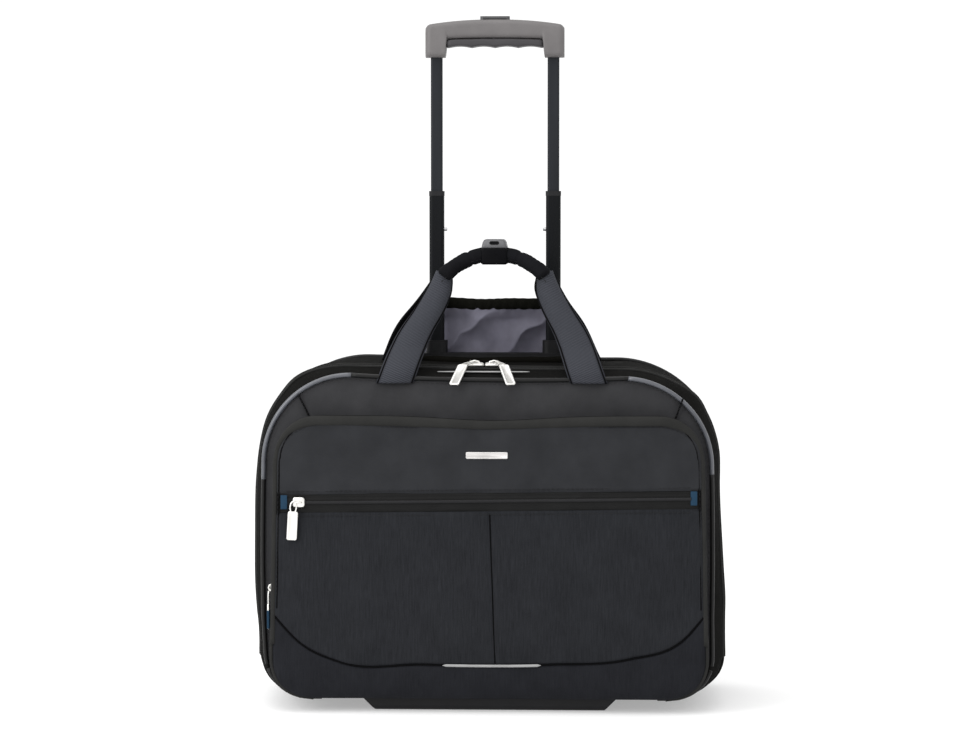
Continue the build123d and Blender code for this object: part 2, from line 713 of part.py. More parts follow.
def make_hub(side):
    disc = Cylinder(TYRE_INNER, WHEEL_WIDTH - 2)
    disc -= Cylinder(AXLE_R + 1.5, 2 * WHEEL_WIDTH)
    for end in (-1, 1):
        dish = Cylinder(HUB_DISH[0], 2 * HUB_DISH[2]) - Cylinder(HUB_DISH[1], 2 * HUB_DISH[2])
        disc -= Pos(0, 0, end * (WHEEL_WIDTH / 2 - 1)) * dish
        depth = WHEEL_WIDTH / 2 - 1 - BEARING_WIDTH / 2
        disc -= Pos(0, 0, end * depth) * Cylinder(BEARING_R, BEARING_WIDTH)
    count, reach, radius = HUB_HOLES
    for step in range(count):
        disc -= Rot(0, 0, 360 / count * step) * Pos(reach, 0, 0) * Cylinder(radius, 2 * WHEEL_WIDTH)
    return Pos(side * WHEEL_X, WHEEL_Y, WHEEL_R) * Rot(0, 90, 0) * disc


def make_bearings(side):
    rings = []
    for end in (-1, 1):
        ring = Cylinder(BEARING_R, BEARING_WIDTH) - Cylinder(AXLE_R + RUNNING_GAP, WHEEL_WIDTH)
        x = side * WHEEL_X + end * (WHEEL_WIDTH / 2 - 1 - BEARING_WIDTH / 2)
        rings.append(Pos(x, WHEEL_Y, WHEEL_R) * Rot(0, 90, 0) * ring)
    return Compound(children=rings)


# ---- cover flap ----
def make_flap_panel():
    top = FLAP_TOP - ELASTIC_HEIGHT
    panel = block(-FLAP_HALF, FLAP_HALF, FLAP_FRONT, FLAP_FRONT + FLAP_THICK, FLAP_BOTTOM, top)
    return panel


def make_flap_elastic():
    low = FLAP_TOP - ELASTIC_HEIGHT
    return block(-FLAP_HALF, FLAP_HALF, FLAP_FRONT, FLAP_FRONT + FLAP_THICK, low, FLAP_TOP)


front_place = (FRONT_FOOT_Y, FRONT_FOOT_Z, -GRIP_Y)
rear_place = (REAR_FOOT_Y, REAR_FOOT_Z, GRIP_Y)
front_straps = make_straps(*front_place)
rear_straps = make_straps(*rear_place)
front_tube = make_grip_tube(*front_place)
rear_tube = make_grip_tube(*rear_place)

parts = {
    "gusset": make_gusset(),
    "back_panel": make_back_panel(),
    "front_base": make_front_base(),
    "base_board": make_base_board(),
    "divider_lining": make_divider_lining(),
    "trolley_housing": make_trolley_housing(),
    "tube_foot": make_tube_foot(),
    "fixed_tubes": pair(make_fixed_tube),
    "wheel_housing_left": make_wheel_housing(-1),
    "wheel_housing_right": make_wheel_housing(1),
    "wheel_axles": pair(make_axle),
    "front_foot": make_front_foot(),
    "kick_plate": make_kick_plate(),
    "kick_plate_screws": make_housing_screws(),
    "back_piping": make_back_piping(),
    "main_zip_tape_rear": zip_tape(ZIP_REAR),
    "main_zip_tape_front": zip_tape(ZIP_REAR - ZIP_TAPE - ZIP_SPLIT),
    "front_shell": make_front_shell(),
    "front_board": make_front_board(),
    "front_piping": make_front_piping(),
    "reflective_piping": make_reflective_piping(),
    "reflective_strips": make_reflective_strips(),
    "pocket_zip_tape": make_pocket_zip_tape(),
    "lower_pocket": make_lower_pocket(),
    "pocket_shell": make_pocket_shell(),
    "nameplate": make_nameplate(),
    "face_zip_tape": make_face_zip_tape(),
    "zip_end_tabs": pair(make_zip_end_tab),
    "main_slider_left": make_main_slider(-1),
    "main_slider_right": make_main_slider(1),
    "main_pull_left": make_main_pull(-1),
    "main_pull_right": make_main_pull(1),
    "face_slider": make_face_slider(),
    "face_pull": make_face_pull(),
    "side_slider": make_side_slider(),
    "side_pull": make_side_pull(),
    "front_straps": front_straps,
    "front_grip": front_tube - front_straps,
    "front_clip": make_clip(-1) - front_tube - front_straps,
    "rear_straps": rear_straps,
    "rear_grip": rear_tube - rear_straps,
    "rear_clip": make_clip(1) - rear_tube - rear_straps,
    "middle_tubes": pair(make_middle_tube),
    "middle_caps": pair(make_middle_cap),
    "inner_tubes": pair(make_inner_tube),
    "grip_lower_shell": make_grip_lower(),
    "grip_top_shell": make_grip_top(),
    "button_spring": make_button_spring(),
    "release_button": make_release_button(),
    "push_rods": pair(make_push_rod),
    "lock_pin_left": make_lock_pin(-1),
    "lock_pin_right": make_lock_pin(1),
    "tyre_left": make_tyre(-1),
    "tyre_right": make_tyre(1),
    "hub_left": make_hub(-1),
    "hub_right": make_hub(1),
    "bearings_left": make_bearings(-1),
    "bearings_right": make_bearings(1),
    "flap_panel": make_flap_panel(),
    "flap_elastic": make_flap_elastic(),
}

for name, shape in parts.items():
    export_step(shape, f"parts/{name}.step")
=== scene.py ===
import math

import bmesh
import bpy
import numpy as np
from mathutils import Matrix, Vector, noise


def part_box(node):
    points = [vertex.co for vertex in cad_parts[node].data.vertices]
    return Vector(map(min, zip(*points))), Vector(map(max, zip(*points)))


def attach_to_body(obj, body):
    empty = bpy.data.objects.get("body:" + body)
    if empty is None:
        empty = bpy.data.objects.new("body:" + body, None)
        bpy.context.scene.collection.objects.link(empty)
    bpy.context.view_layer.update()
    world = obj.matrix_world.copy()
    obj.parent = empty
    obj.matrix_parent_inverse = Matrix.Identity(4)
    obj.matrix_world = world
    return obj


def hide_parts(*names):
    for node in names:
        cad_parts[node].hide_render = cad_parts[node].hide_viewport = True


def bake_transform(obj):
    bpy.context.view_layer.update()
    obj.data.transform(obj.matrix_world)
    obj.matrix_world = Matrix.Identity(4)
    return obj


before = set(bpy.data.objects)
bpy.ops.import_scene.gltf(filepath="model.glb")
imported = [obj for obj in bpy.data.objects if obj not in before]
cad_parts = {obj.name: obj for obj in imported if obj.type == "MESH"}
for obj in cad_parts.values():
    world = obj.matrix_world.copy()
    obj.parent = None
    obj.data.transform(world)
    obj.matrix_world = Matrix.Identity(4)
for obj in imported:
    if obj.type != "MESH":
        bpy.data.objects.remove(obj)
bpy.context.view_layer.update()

# Lengths in this script are millimetres in the CAD frame; make_object turns them into metres.
MM = 0.001
WELD_REACH = 0.02


def corners(node):
    """A CAD node's lowest and highest corners, in millimetres."""
    low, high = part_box(node)
    return np.array(low) / MM, np.array(high) / MM


# ---------------------------------------------------------------- places taken from the frame
GUSSET_LOW, GUSSET_HIGH = corners("gusset")
BOARD_LOW, BOARD_HIGH = corners("front_board")
POCKET_LOW, POCKET_HIGH = corners("pocket_shell")
FACE_ZIP_LOW, FACE_ZIP_HIGH = corners("face_zip_tape")
FLAP_LOW, FLAP_HIGH = corners("flap_panel")
ELASTIC_LOW, ELASTIC_HIGH = corners("flap_elastic")
PLATE_LOW, PLATE_HIGH = corners("nameplate")
GRIP_LOW_Z = corners("grip_lower_shell")[0][2]
GRIP_TOP_LOW, GRIP_TOP_HIGH = corners("grip_top_shell")
HOUSING_LOW, HOUSING_HIGH = corners("wheel_housing_right")
TRAY_LOW, TRAY_HIGH = corners("trolley_housing")
DIVIDER_FRONT = corners("divider_lining")[0][1]
TROLLEY_Y = (GRIP_TOP_LOW[1] + GRIP_TOP_HIGH[1]) / 2

HALF = GUSSET_HIGH[0]
TOP = GUSSET_HIGH[2]
BOTTOM = GUSSET_LOW[2]
BACK = GUSSET_HIGH[1]
ZIP_Y = GUSSET_LOW[1] - 2.2
FRONT = BOARD_LOW[1]
FRONT_HALF = BOARD_HIGH[0]
FRONT_TOP = BOARD_HIGH[2]
LID_HINGE_Z = BOARD_LOW[2] - 0.6
POCKET_FACE = POCKET_LOW[1]
POCKET_HINGE_Z = POCKET_LOW[2]
POCKET_TOP = POCKET_HIGH[2]
FACE_ZIP_Z = (FACE_ZIP_LOW[2] + FACE_ZIP_HIGH[2]) / 2
FACE_ZIP_TILT = math.radians(0.74)

# ---------------------------------------------------------------- camera, floor and light
CAMERA_PLACE = (0.100, -2.790, 0.470)
CAMERA_PITCH = math.radians(3.07)
CAMERA_YAW = math.radians(2.10)
CAMERA_LENS = 106.5
WORLD_STRENGTH = 1.08
FLOOR_REACH = 9000.0
FLOOR_LEVEL = -0.3


def make_camera():
    data = bpy.data.cameras.new("camera")
    data.lens = CAMERA_LENS
    data.sensor_width = 36.0
    camera = bpy.data.objects.new("camera", data)
    camera.location = CAMERA_PLACE
    camera.rotation_euler = (math.pi / 2 - CAMERA_PITCH, 0.0, CAMERA_YAW)
    bpy.context.scene.collection.objects.link(camera)
    bpy.context.scene.camera = camera


def make_area_light(name, place, target, size, power):
    data = bpy.data.lights.new(name, "AREA")
    data.shape = "RECTANGLE"
    data.size, data.size_y = size
    data.energy = power
    light = bpy.data.objects.new(name, data)
    light.location = place
    aim = Vector(target) - Vector(place)
    light.rotation_euler = aim.to_track_quat("-Z", "Y").to_euler()
    bpy.context.scene.collection.objects.link(light)


def make_world(strength):
    world = bpy.data.worlds.new("studio")
    world.use_nodes = True
    background = world.node_tree.nodes["Background"]
    background.inputs["Color"].default_value = (1.0, 1.0, 1.0, 1.0)
    background.inputs["Strength"].default_value = strength
    bpy.context.scene.world = world


# ---------------------------------------------------------------- materials
class Recipe:
    """A node material: a Principled shader with helpers that add texture nodes to it."""

    def __init__(self, name, roughness=0.8, specular=0.2, metallic=0.0):
        self.material = bpy.data.materials.new(name)
        self.material.use_nodes = True
        self.tree = self.material.node_tree
        self.shader = self.tree.nodes["Principled BSDF"]
        self.shader.inputs["Roughness"].default_value = roughness
        self.shader.inputs["Specular IOR Level"].default_value = specular
        self.shader.inputs["Metallic"].default_value = metallic
        self.heights = []

    def add(self, kind, **settings):
        node = self.tree.nodes.new(kind)
        for key, value in settings.items():
            setattr(node, key, value)
        return node

    def link(self, source, target):
        self.tree.links.new(source, target)

    def place(self, scale, uv=True):
        """Texture coordinates in millimetres, along the weave or in the object's own space."""
        source = self.add("ShaderNodeTexCoord")
        mapping = self.add("ShaderNodeMapping")
        factor = 1.0 if uv else 1000.0
        mapping.inputs["Scale"].default_value = [s * factor for s in scale]
        self.link(source.outputs["UV" if uv else "Object"], mapping.inputs["Vector"])
        return mapping.outputs["Vector"]

    def noise(self, scale, detail=3.0, uv=True, roughness=0.55):
        texture = self.add("ShaderNodeTexNoise")
        texture.inputs["Scale"].default_value = 1.0
        texture.inputs["Detail"].default_value = detail
        texture.inputs["Roughness"].default_value = roughness
        self.link(self.place(scale, uv), texture.inputs["Vector"])
        return texture.outputs["Fac"]

    def threads(self, period, direction, uv=True, distortion=0.0):
        """A wave whose crests are period millimetres apart."""
        texture = self.add("ShaderNodeTexWave", wave_type="BANDS", bands_direction=direction)
        texture.inputs["Scale"].default_value = 0.31416 / period
        texture.inputs["Distortion"].default_value = distortion
        texture.inputs["Detail"].default_value = 1.0
        texture.inputs["Detail Scale"].default_value = 1.5
        self.link(self.place((1.0, 1.0, 1.0), uv), texture.inputs["Vector"])
        return texture.outputs["Fac"]

    def math(self, operation, first, second):
        node = self.add("ShaderNodeMath", operation=operation)
        for socket, value in zip(node.inputs, (first, second)):
            if isinstance(value, (int, float)):
                socket.default_value = value
            else:
                self.link(value, socket)
        return node.outputs[0]

    def mix(self, first, second, share):
        """That share of the first value, and the rest of the second."""
        return self.math("ADD", self.math("MULTIPLY", first, share), self.math("MULTIPLY", second, 1 - share))

    def ramp(self, factor, stops):
        node = self.add("ShaderNodeValToRGB")
        elements = node.color_ramp.elements
        while len(elements) < len(stops):
            elements.new(0.5)
        for element, (position, colour) in zip(elements, stops):
            element.position = position
            element.color = (*colour, 1.0)
        self.link(factor, node.inputs["Fac"])
        return node.outputs["Color"]

    def colour(self, factor, dark, light, low=0.3, high=0.7):
        self.link(self.ramp(factor, [(low, dark), (high, light)]), self.shader.inputs["Base Color"])

    def rough(self, factor, low, high):
        node = self.add("ShaderNodeMapRange")
        node.inputs["To Min"].default_value = low
        node.inputs["To Max"].default_value = high
        self.link(factor, node.inputs["Value"])
        self.link(node.outputs["Result"], self.shader.inputs["Roughness"])

    def bump(self, height, distance, strength=1.0):
        """Adds a bump of that depth in millimetres on top of those before it."""
        node = self.add("ShaderNodeBump")
        node.inputs["Strength"].default_value = strength
        node.inputs["Distance"].default_value = distance * MM
        self.link(height, node.inputs["Height"])
        if self.heights:
            self.link(self.heights[-1], node.inputs["Normal"])
        self.heights.append(node.outputs["Normal"])
        self.link(node.outputs["Normal"], self.shader.inputs["Normal"])


def shade(colour, factor):
    return tuple(c * factor for c in colour)


def fabric(name, colour, pitch=0.9, slub=0.0, specular=0.05, variation=0.12, uv=True):
    """A plain weave: warp and weft bumps, cloudy colour, and slub streaks along the warp."""
    recipe = Recipe(name, roughness=0.85, specular=specular)
    warp = recipe.threads(pitch, "X", uv, 0.6)
    weft = recipe.threads(pitch, "Y" if uv else "Z", uv, 0.6)
    weave = recipe.math("MULTIPLY", warp, weft)
    cloud = recipe.noise((0.035, 0.03, 0.03), 4.0, uv)
    tone = cloud
    if slub:
        streak = recipe.noise((0.75, 0.045, 0.75) if uv else (0.75, 0.75, 0.045), 3.0, uv, 0.6)
        fine = recipe.noise((2.2, 0.12, 2.2) if uv else (2.2, 2.2, 0.12), 2.0, uv, 0.6)
        both = recipe.mix(streak, fine, 0.6)
        tone = recipe.mix(both, cloud, slub)
        recipe.bump(both, 0.35 * slub)
    speckle = recipe.noise((1.4, 1.4, 1.4), 2.0, uv, 0.7)
    mixed = recipe.mix(tone, speckle, 0.7)
    contrast = variation + 0.35 * slub
    recipe.colour(mixed, shade(colour, 1 - contrast), shade(colour, 1 + contrast), 0.36, 0.64)
    recipe.bump(weave, 0.12)
    recipe.bump(speckle, 0.10)
    return recipe.material


def webbing(name, colour, width):
    """Twill webbing: diagonal ribs between plain selvedges. U runs across the strap."""
    recipe = Recipe(name, roughness=0.75, specular=0.06)
    coordinate = recipe.add("ShaderNodeTexCoord")
    split = recipe.add("ShaderNodeSeparateXYZ")
    recipe.link(coordinate.outputs["UV"], split.inputs[0])
    across, along = split.outputs[0], split.outputs[1]
    diagonal = recipe.math("ADD", recipe.math("MULTIPLY", across, 0.42), along)
    rib = recipe.math("SINE", recipe.math("MULTIPLY", diagonal, 2 * math.pi / 2.1), 0.0)
    rib = recipe.math("ADD", recipe.math("MULTIPLY", rib, 0.5), 0.5)
    plain = recipe.math("SINE", recipe.math("MULTIPLY", along, 2 * math.pi / 1.0), 0.0)
    plain = recipe.math("ADD", recipe.math("MULTIPLY", plain, 0.12), 0.16)
    edge = recipe.math("GREATER_THAN", recipe.math("ABSOLUTE", across, 0.0), width / 2 - 4.5)
    mix = recipe.add("ShaderNodeMix", data_type="FLOAT")
    recipe.link(edge, mix.inputs[0])
    recipe.link(rib, mix.inputs[2])
    recipe.link(plain, mix.inputs[3])
    speckle = recipe.noise((1.2, 1.2, 1.2), 2.0, True, 0.7)
    tone = recipe.mix(mix.outputs[0], speckle, 0.6)
    recipe.colour(tone, shade(colour, 0.62), shade(colour, 1.3), 0.2, 0.8)
    recipe.bump(mix.outputs[0], 0.35)
    recipe.bump(speckle, 0.12)
    return recipe.material


def plastic(name, colour, roughness=0.45, grain=0.08, specular=0.35, wear=0.15):
    """Moulded plastic: a fine pebbled grain, slightly polished in places."""
    recipe = Recipe(name, roughness=roughness, specular=specular)
    pebble = recipe.noise((1.6, 1.6, 1.6), 2.0, False)
    cloud = recipe.noise((0.05, 0.05, 0.05), 4.0, False)
    recipe.colour(cloud, shade(colour, 1 - wear), shade(colour, 1 + wear))
    recipe.rough(cloud, roughness - 0.08, roughness + 0.1)
    recipe.bump(pebble, grain)
    return recipe.material


def metal(name, colour, roughness=0.25, brushed=(0.4, 6.0, 0.4)):
    """Plated or anodised metal with fine drawing lines and small marks."""
    recipe = Recipe(name, roughness=roughness, specular=0.5, metallic=1.0)
    lines = recipe.noise(brushed, 2.0, False)
    cloud = recipe.noise((0.06, 0.06, 0.06), 4.0, False)
    recipe.colour(cloud, shade(colour, 0.9), shade(colour, 1.08))
    recipe.rough(cloud, roughness - 0.05, roughness + 0.1)
    recipe.bump(lines, 0.015)
    return recipe.material


def anodised(name, colour, roughness=0.38):
    """Dark anodised tube: a dielectric-like coat over drawn aluminium."""
    recipe = Recipe(name, roughness=roughness, specular=0.10)
    lines = recipe.noise((3.0, 3.0, 0.03), 2.0, False)
    cloud = recipe.noise((0.08, 0.08, 0.01), 4.0, False)
    recipe.colour(cloud, shade(colour, 0.88), shade(colour, 1.1))
    recipe.rough(lines, roughness - 0.06, roughness + 0.1)
    recipe.bump(lines, 0.02)
    return recipe.material


def reflective(name, colour):
    """Retroreflective tape: tiny glass beads under a clear film."""
    recipe = Recipe(name, roughness=0.35, specular=0.5)
    beads = recipe.noise((2.5, 2.5, 2.5), 1.0, False)
    cloud = recipe.noise((0.04, 0.04, 0.04), 3.0, False)
    recipe.colour(cloud, shade(colour, 0.85), shade(colour, 1.15))
    recipe.bump(beads, 0.05)
    recipe.shader.inputs["Coat Weight"].default_value = 0.3
    recipe.shader.inputs["Coat Roughness"].default_value = 0.2
    return recipe.material


def crinkled(name, colour):
    """Thin calendered lining: a smooth sheen over very fine threads and soft creases, with painted shade
    darkening the creases' hollows.
    """
    recipe = Recipe(name, roughness=0.55, specular=0.25)
    warp = recipe.threads(0.6, "X", True)
    weft = recipe.threads(0.6, "Y", True)
    crease_and_shade = recipe.noise((0.06, 0.05, 0.05), 4.0)
    # the crease noise also darkens the colour in its hollows: painted shade
    recipe.colour(crease_and_shade, shade(colour, 0.85), shade(colour, 1.15))
    recipe.bump(recipe.math("MULTIPLY", warp, weft), 0.05)
    recipe.bump(crease_and_shade, 0.8, 0.6)
    return recipe.material


def rubber(name, colour):
    recipe = Recipe(name, roughness=0.8, specular=0.2)
    dust = recipe.noise((0.12, 0.12, 0.12), 5.0, False)
    recipe.colour(dust, colour, shade(colour, 1.9), 0.45, 0.75)
    recipe.bump(recipe.noise((1.0, 1.0, 1.0), 3.0, False), 0.12)
    return recipe.material


def floor_material():
    recipe = Recipe("floor_paint", roughness=0.9, specular=0.0)
    cloud = recipe.noise((0.002, 0.002, 0.002), 2.0, False)
    recipe.colour(cloud, (0.64, 0.64, 0.64), (0.66, 0.66, 0.66))
    recipe.shader.inputs["Emission Color"].default_value = (1.0, 1.0, 1.0, 1.0)
    recipe.shader.inputs["Emission Strength"].default_value = 0.36
    return recipe.material


M = {
    "body": fabric("body_fabric", (0.0062, 0.0061, 0.0057), 1.0, 0.15, 0.015),
    "band": fabric("front_band_fabric", (0.033, 0.033, 0.035), 0.9, 0.1, 0.04),
    "upper": fabric("upper_pocket_fabric", (0.0235, 0.0243, 0.0268), 0.8, 0.05, 0.05),
    "slub": fabric("slub_fabric", (0.0165, 0.0174, 0.0200), 0.9, 0.75, 0.05),
    # a darker copy of the slub fabric: painted shade of the band that faces down
    "low": fabric("bottom_band_painted_shade", (0.0138, 0.0144, 0.0172), 0.9, 0.6, 0.05),
    "hem": fabric("hem_binding", (0.022, 0.022, 0.0212), 0.7, 0.0, 0.08),
    "roll": fabric("opening_binding", (0.0058, 0.0056, 0.0046), 0.7, 0.0, 0.01),
    "tape": fabric("zip_tape", (0.013, 0.013, 0.013), 0.6, 0.0, 0.08),
    # near-black lines in the seam grooves: painted shade
    "seam": fabric("seam_shade_and_strap_edge_line", (0.0035, 0.0035, 0.0038), 0.4, 0.0, 0.03),
    "lining": crinkled("lining", (0.055, 0.055, 0.068)),
    "flap": crinkled("flap_lining", (0.132, 0.128, 0.165)),
    "elastic": fabric("elastic", (0.0075, 0.0075, 0.0060), 0.7, 0.0, 0.01),
    "webbing": webbing("webbing", (0.040, 0.042, 0.050), 38.0),
    # a near-black copy of the webbing for the rear straps: painted shade
    "shaded_webbing": webbing("webbing_rear_painted_shade", (0.008, 0.008, 0.009), 38.0),
    "grip": fabric("padded_grip_fabric", (0.0072, 0.0073, 0.0085), 0.9, 0.0, 0.03, 0.2, False),
    "blue": fabric("blue_tab", (0.015, 0.038, 0.068), 0.5, 0.0, 0.08),
    "plastic": plastic("black_plastic", (0.009, 0.009, 0.010), 0.45, 0.08, 0.2),
    "clip": plastic("clip_plastic", (0.0028, 0.0028, 0.0035), 0.45, 0.02, 0.04),
    # light grey cap on the near-black clip: a painted highlight of its glossy top bevel
    "clip_cap_highlight": plastic("clip_cap_painted_highlight", (0.085, 0.085, 0.090), 0.3, 0.02, 0.4),
    "coil": plastic("nylon_coil", (0.009, 0.009, 0.010), 0.4, 0.01, 0.2),
    "piping": plastic("piping", (0.007, 0.007, 0.007), 0.42, 0.03, 0.2),
    "reflective": reflective("reflective_tape", (0.070, 0.074, 0.086)),
    "strip": reflective("reflective_strip", (0.27, 0.27, 0.27)),
    "plate": metal("plate_metal", (0.64, 0.62, 0.61), 0.34),
    "pull": metal("pull_metal", (0.84, 0.83, 0.80), 0.38),
    "steel": metal("steel", (0.45, 0.45, 0.46), 0.3),
    "screw": metal("dark_screw", (0.05, 0.05, 0.05), 0.4),
    "tube_outer": anodised("tube_outer", (0.0045, 0.0051, 0.0061), 0.42),
    "tube_inner": anodised("tube_inner", (0.0165, 0.0182, 0.0212), 0.42),
    "handle": plastic("trolley_grip", (0.120, 0.113, 0.113), 0.5, 0.05, 0.35, 0.08),
    # a darker copy of the grip plastic for the lower moulding: painted shade of the grip's underside
    "handle_underside_shade": plastic("trolley_grip_low_painted_shade", (0.045, 0.043, 0.046), 0.5, 0.05, 0.2, 0.08),
    "button": plastic("button_plastic", (0.06, 0.06, 0.062), 0.4, 0.02, 0.4),
    "tyre": rubber("tyre", (0.013, 0.013, 0.013)),
    "hub": plastic("hub_plastic", (0.03, 0.03, 0.031), 0.35, 0.04, 0.4),
    "board": plastic("stiff_board", (0.02, 0.02, 0.02), 0.7, 0.1, 0.2),
    "thread": fabric("stitch_thread", (0.020, 0.020, 0.021), 0.5, 0.0, 0.08),
}


# ---------------------------------------------------------------- what each piece belongs to
# The two lines that fabric bends across: the bodies below and above it, and where the bend starts and ends.
LID_FOLD = ("case", "lid", (0.0, -0.084, 0.034), (0.0, -0.084, 0.052))
POCKET_FOLD = ("lid", "pocket_panel", (0.0, -0.1045, 0.102), (0.0, -0.1045, 0.121))


def attach(obj, body, slot=None, *nodes):
    """Rides a piece on a body and hides the CAD nodes that it stands in for. slot is not used."""
    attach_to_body(obj, body)
    label(obj, slot, *nodes)


def bend(obj, fold, slot, *nodes):
    """For fabric that bends across a fold: bakes its placing into its points and hides the CAD nodes that it
    stands in for. fold and slot are not used.
    """
    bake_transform(obj)
    label(obj, slot, *nodes)


def label(obj, slot, *nodes):
    if nodes:
        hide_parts(*nodes)


# ---------------------------------------------------------------- mesh helpers
def make_object(name, points, faces, material, uvs=None):
    """A smooth mesh object. uvs holds one pair for each corner of each face, in order."""
    mesh = bpy.data.meshes.new(name)
    vertices = (np.asarray(points, float) * MM).tolist()
    mesh.from_pydata(vertices, [], [tuple(int(i) for i in face) for face in faces])
    if uvs is not None:
        layer = mesh.uv_layers.new(name="weave")
        layer.data.foreach_set("uv", np.asarray(uvs, np.float32).ravel())
    mesh.materials.append(material)
    mesh.shade_smooth()
    mesh.validate()
    obj = bpy.data.objects.new(name, mesh)
    bpy.context.scene.collection.objects.link(obj)
    return obj


def lengths(points, axis):
    """Running length along one axis of a grid, averaged over the other."""
    steps = np.linalg.norm(np.diff(points, axis=axis), axis=2).mean(axis=1 - axis)
    return np.concatenate([[0.0], np.cumsum(steps)])


def surface(name, grid, material, close_u=False, close_v=False, outward=None, uv=None, thick=0.0, keep=None):
    """A sheet of quads over a grid of points, with UVs in millimetres along both directions.
    outward is a point that the sheet faces away from. keep(centre) says which quads stay."""
    grid = np.asarray(grid, float)
    nu, nv = grid.shape[:2]
    wrapped = grid
    if close_u:
        wrapped = np.concatenate([wrapped, wrapped[:1]], axis=0)
    if close_v:
        wrapped = np.concatenate([wrapped, wrapped[:, :1]], axis=1)
    if uv is None:
        u, v = lengths(wrapped, 0), lengths(wrapped, 1)
        flat = np.stack(np.meshgrid(u, v, indexing="ij"), axis=2)
    else:
        flat = np.stack(uv, axis=2)
    mu, mv = wrapped.shape[0] - 1, wrapped.shape[1] - 1
    faces, uvs = [], []
    for i in range(mu):
        for j in range(mv):
            cell = [(i, j), (i + 1, j), (i + 1, j + 1), (i, j + 1)]
            centre = sum(wrapped[c] for c in cell) / 4
            if keep is not None and not keep(centre):
                continue
            faces.append([(a % nu) * nv + (b % nv) for a, b in cell])
            uvs.append([flat[c] for c in cell])
    points = grid.reshape(-1, 3)
    faces, uvs = np.array(faces), np.array(uvs)
    if outward is not None and facing_in(points, faces, np.asarray(outward, float)):
        faces, uvs = faces[:, ::-1], uvs[:, ::-1]
    points, faces = drop_unused(points, faces)
    obj = make_object(name, points, faces, material, uvs.reshape(-1, 2))
    if thick:
        thicken(obj, thick)
    return obj


def facing_in(points, faces, inner):
    corner = points[faces]
    normal = np.cross(corner[:, 2] - corner[:, 0], corner[:, 3] - corner[:, 1])
    return ((corner.mean(axis=1) - inner) * normal).sum() < 0


def drop_unused(points, faces):
    used = np.unique(faces)
    index = np.full(len(points), -1)
    index[used] = np.arange(len(used))
    return points[used], index[faces]


def thicken(obj, amount):
    """Gives a sheet its thickness, on the side away from its normals."""
    solid = obj.modifiers.new("thickness", "SOLIDIFY")
    solid.thickness = amount * MM
    solid.offset = -1.0


def frames(path, closed, up):
    """Tangent, side and up directions along a path, up staying as near to the wanted one as it can."""
    path = np.asarray(path, float)
    if closed:
        ahead, behind = np.roll(path, -1, 0), np.roll(path, 1, 0)
    else:
        ahead = np.concatenate([path[1:], path[-1:]])
        behind = np.concatenate([path[:1], path[:-1]])
    tangent = ahead - behind
    tangent /= np.linalg.norm(tangent, axis=1)[:, None]
    up = np.broadcast_to(np.asarray(up, float), path.shape)
    side = np.cross(tangent, up)
    side /= np.linalg.norm(side, axis=1)[:, None]
    return tangent, side, np.cross(side, tangent)


def tube(name, path, radius, material, closed=False, up=(0, 1, 0), sides=12, flatten=1.0):
    """A round cord along a path; radius may change along it, and flatten squeezes it along up."""
    path = np.asarray(path, float)
    radius = np.broadcast_to(np.asarray(radius, float), len(path))
    _, side, high = frames(path, closed, up)
    angles = spread(0, 2 * math.pi, sides)[None, :, None]
    ring = np.cos(angles) * side[:, None, :] + flatten * np.sin(angles) * high[:, None, :]
    grid = path[:, None, :] + radius[:, None, None] * ring
    obj = surface(name, grid, material, close_u=closed, close_v=True)
    if not closed:
        cap_ends(obj, sides)
    recalculate(obj)
    return obj


def edit_mesh(obj, change):
    mesh = bmesh.new()
    mesh.from_mesh(obj.data)
    change(mesh)
    mesh.to_mesh(obj.data)
    mesh.free()


def weld(obj):
    """Joins the points that lie on each other where a grid closes on itself."""
    def join(mesh):
        bmesh.ops.remove_doubles(mesh, verts=mesh.verts, dist=WELD_REACH * MM)
        bmesh.ops.dissolve_degenerate(mesh, edges=mesh.edges, dist=WELD_REACH * MM)
    edit_mesh(obj, join)


def cap_ends(obj, sides):
    """Closes the first and the last ring of a tube with a face each."""
    def close(mesh):
        mesh.verts.ensure_lookup_table()
        points = list(mesh.verts)
        mesh.faces.new(points[:sides][::-1])
        mesh.faces.new(points[-sides:])
    edit_mesh(obj, close)
    obj.data.shade_smooth()


def recalculate(obj):
    edit_mesh(obj, lambda mesh: bmesh.ops.recalc_face_normals(mesh, faces=mesh.faces))


def spread(start, end, count):
    """Evenly spaced values from the start up to, but without, the end."""
    return np.linspace(start, end, count, endpoint=False)


def blocks(name, places, directions, sizes, material, bevel=0.0):
    """Many small bars in one mesh: centres, their three directions, and their three sizes."""
    square = ((-0.5, -0.5), (0.5, -0.5), (0.5, 0.5), (-0.5, 0.5))
    unit = np.array([(x, y, z) for z in (-0.5, 0.5) for x, y in square])
    quads = np.array([(0, 3, 2, 1), (4, 5, 6, 7), (0, 1, 5, 4), (1, 2, 6, 5), (2, 3, 7, 6), (3, 0, 4, 7)])
    local = unit[None] * np.broadcast_to(np.asarray(sizes, float), (len(places), 3))[:, None, :]
    points = np.einsum("nij,njk->nik", local, directions) + np.asarray(places)[:, None, :]
    faces = (quads[None] + 8 * np.arange(len(places))[:, None, None]).reshape(-1, 4)
    uvs = np.tile(np.array([(0, 0), (1, 0), (1, 1), (0, 1)], float), (len(faces), 1))
    obj = make_object(name, points.reshape(-1, 3), faces, material, uvs)
    if bevel:
        edge = obj.modifiers.new("edges", "BEVEL")
        edge.width = bevel * MM
        edge.segments = 2
    return obj


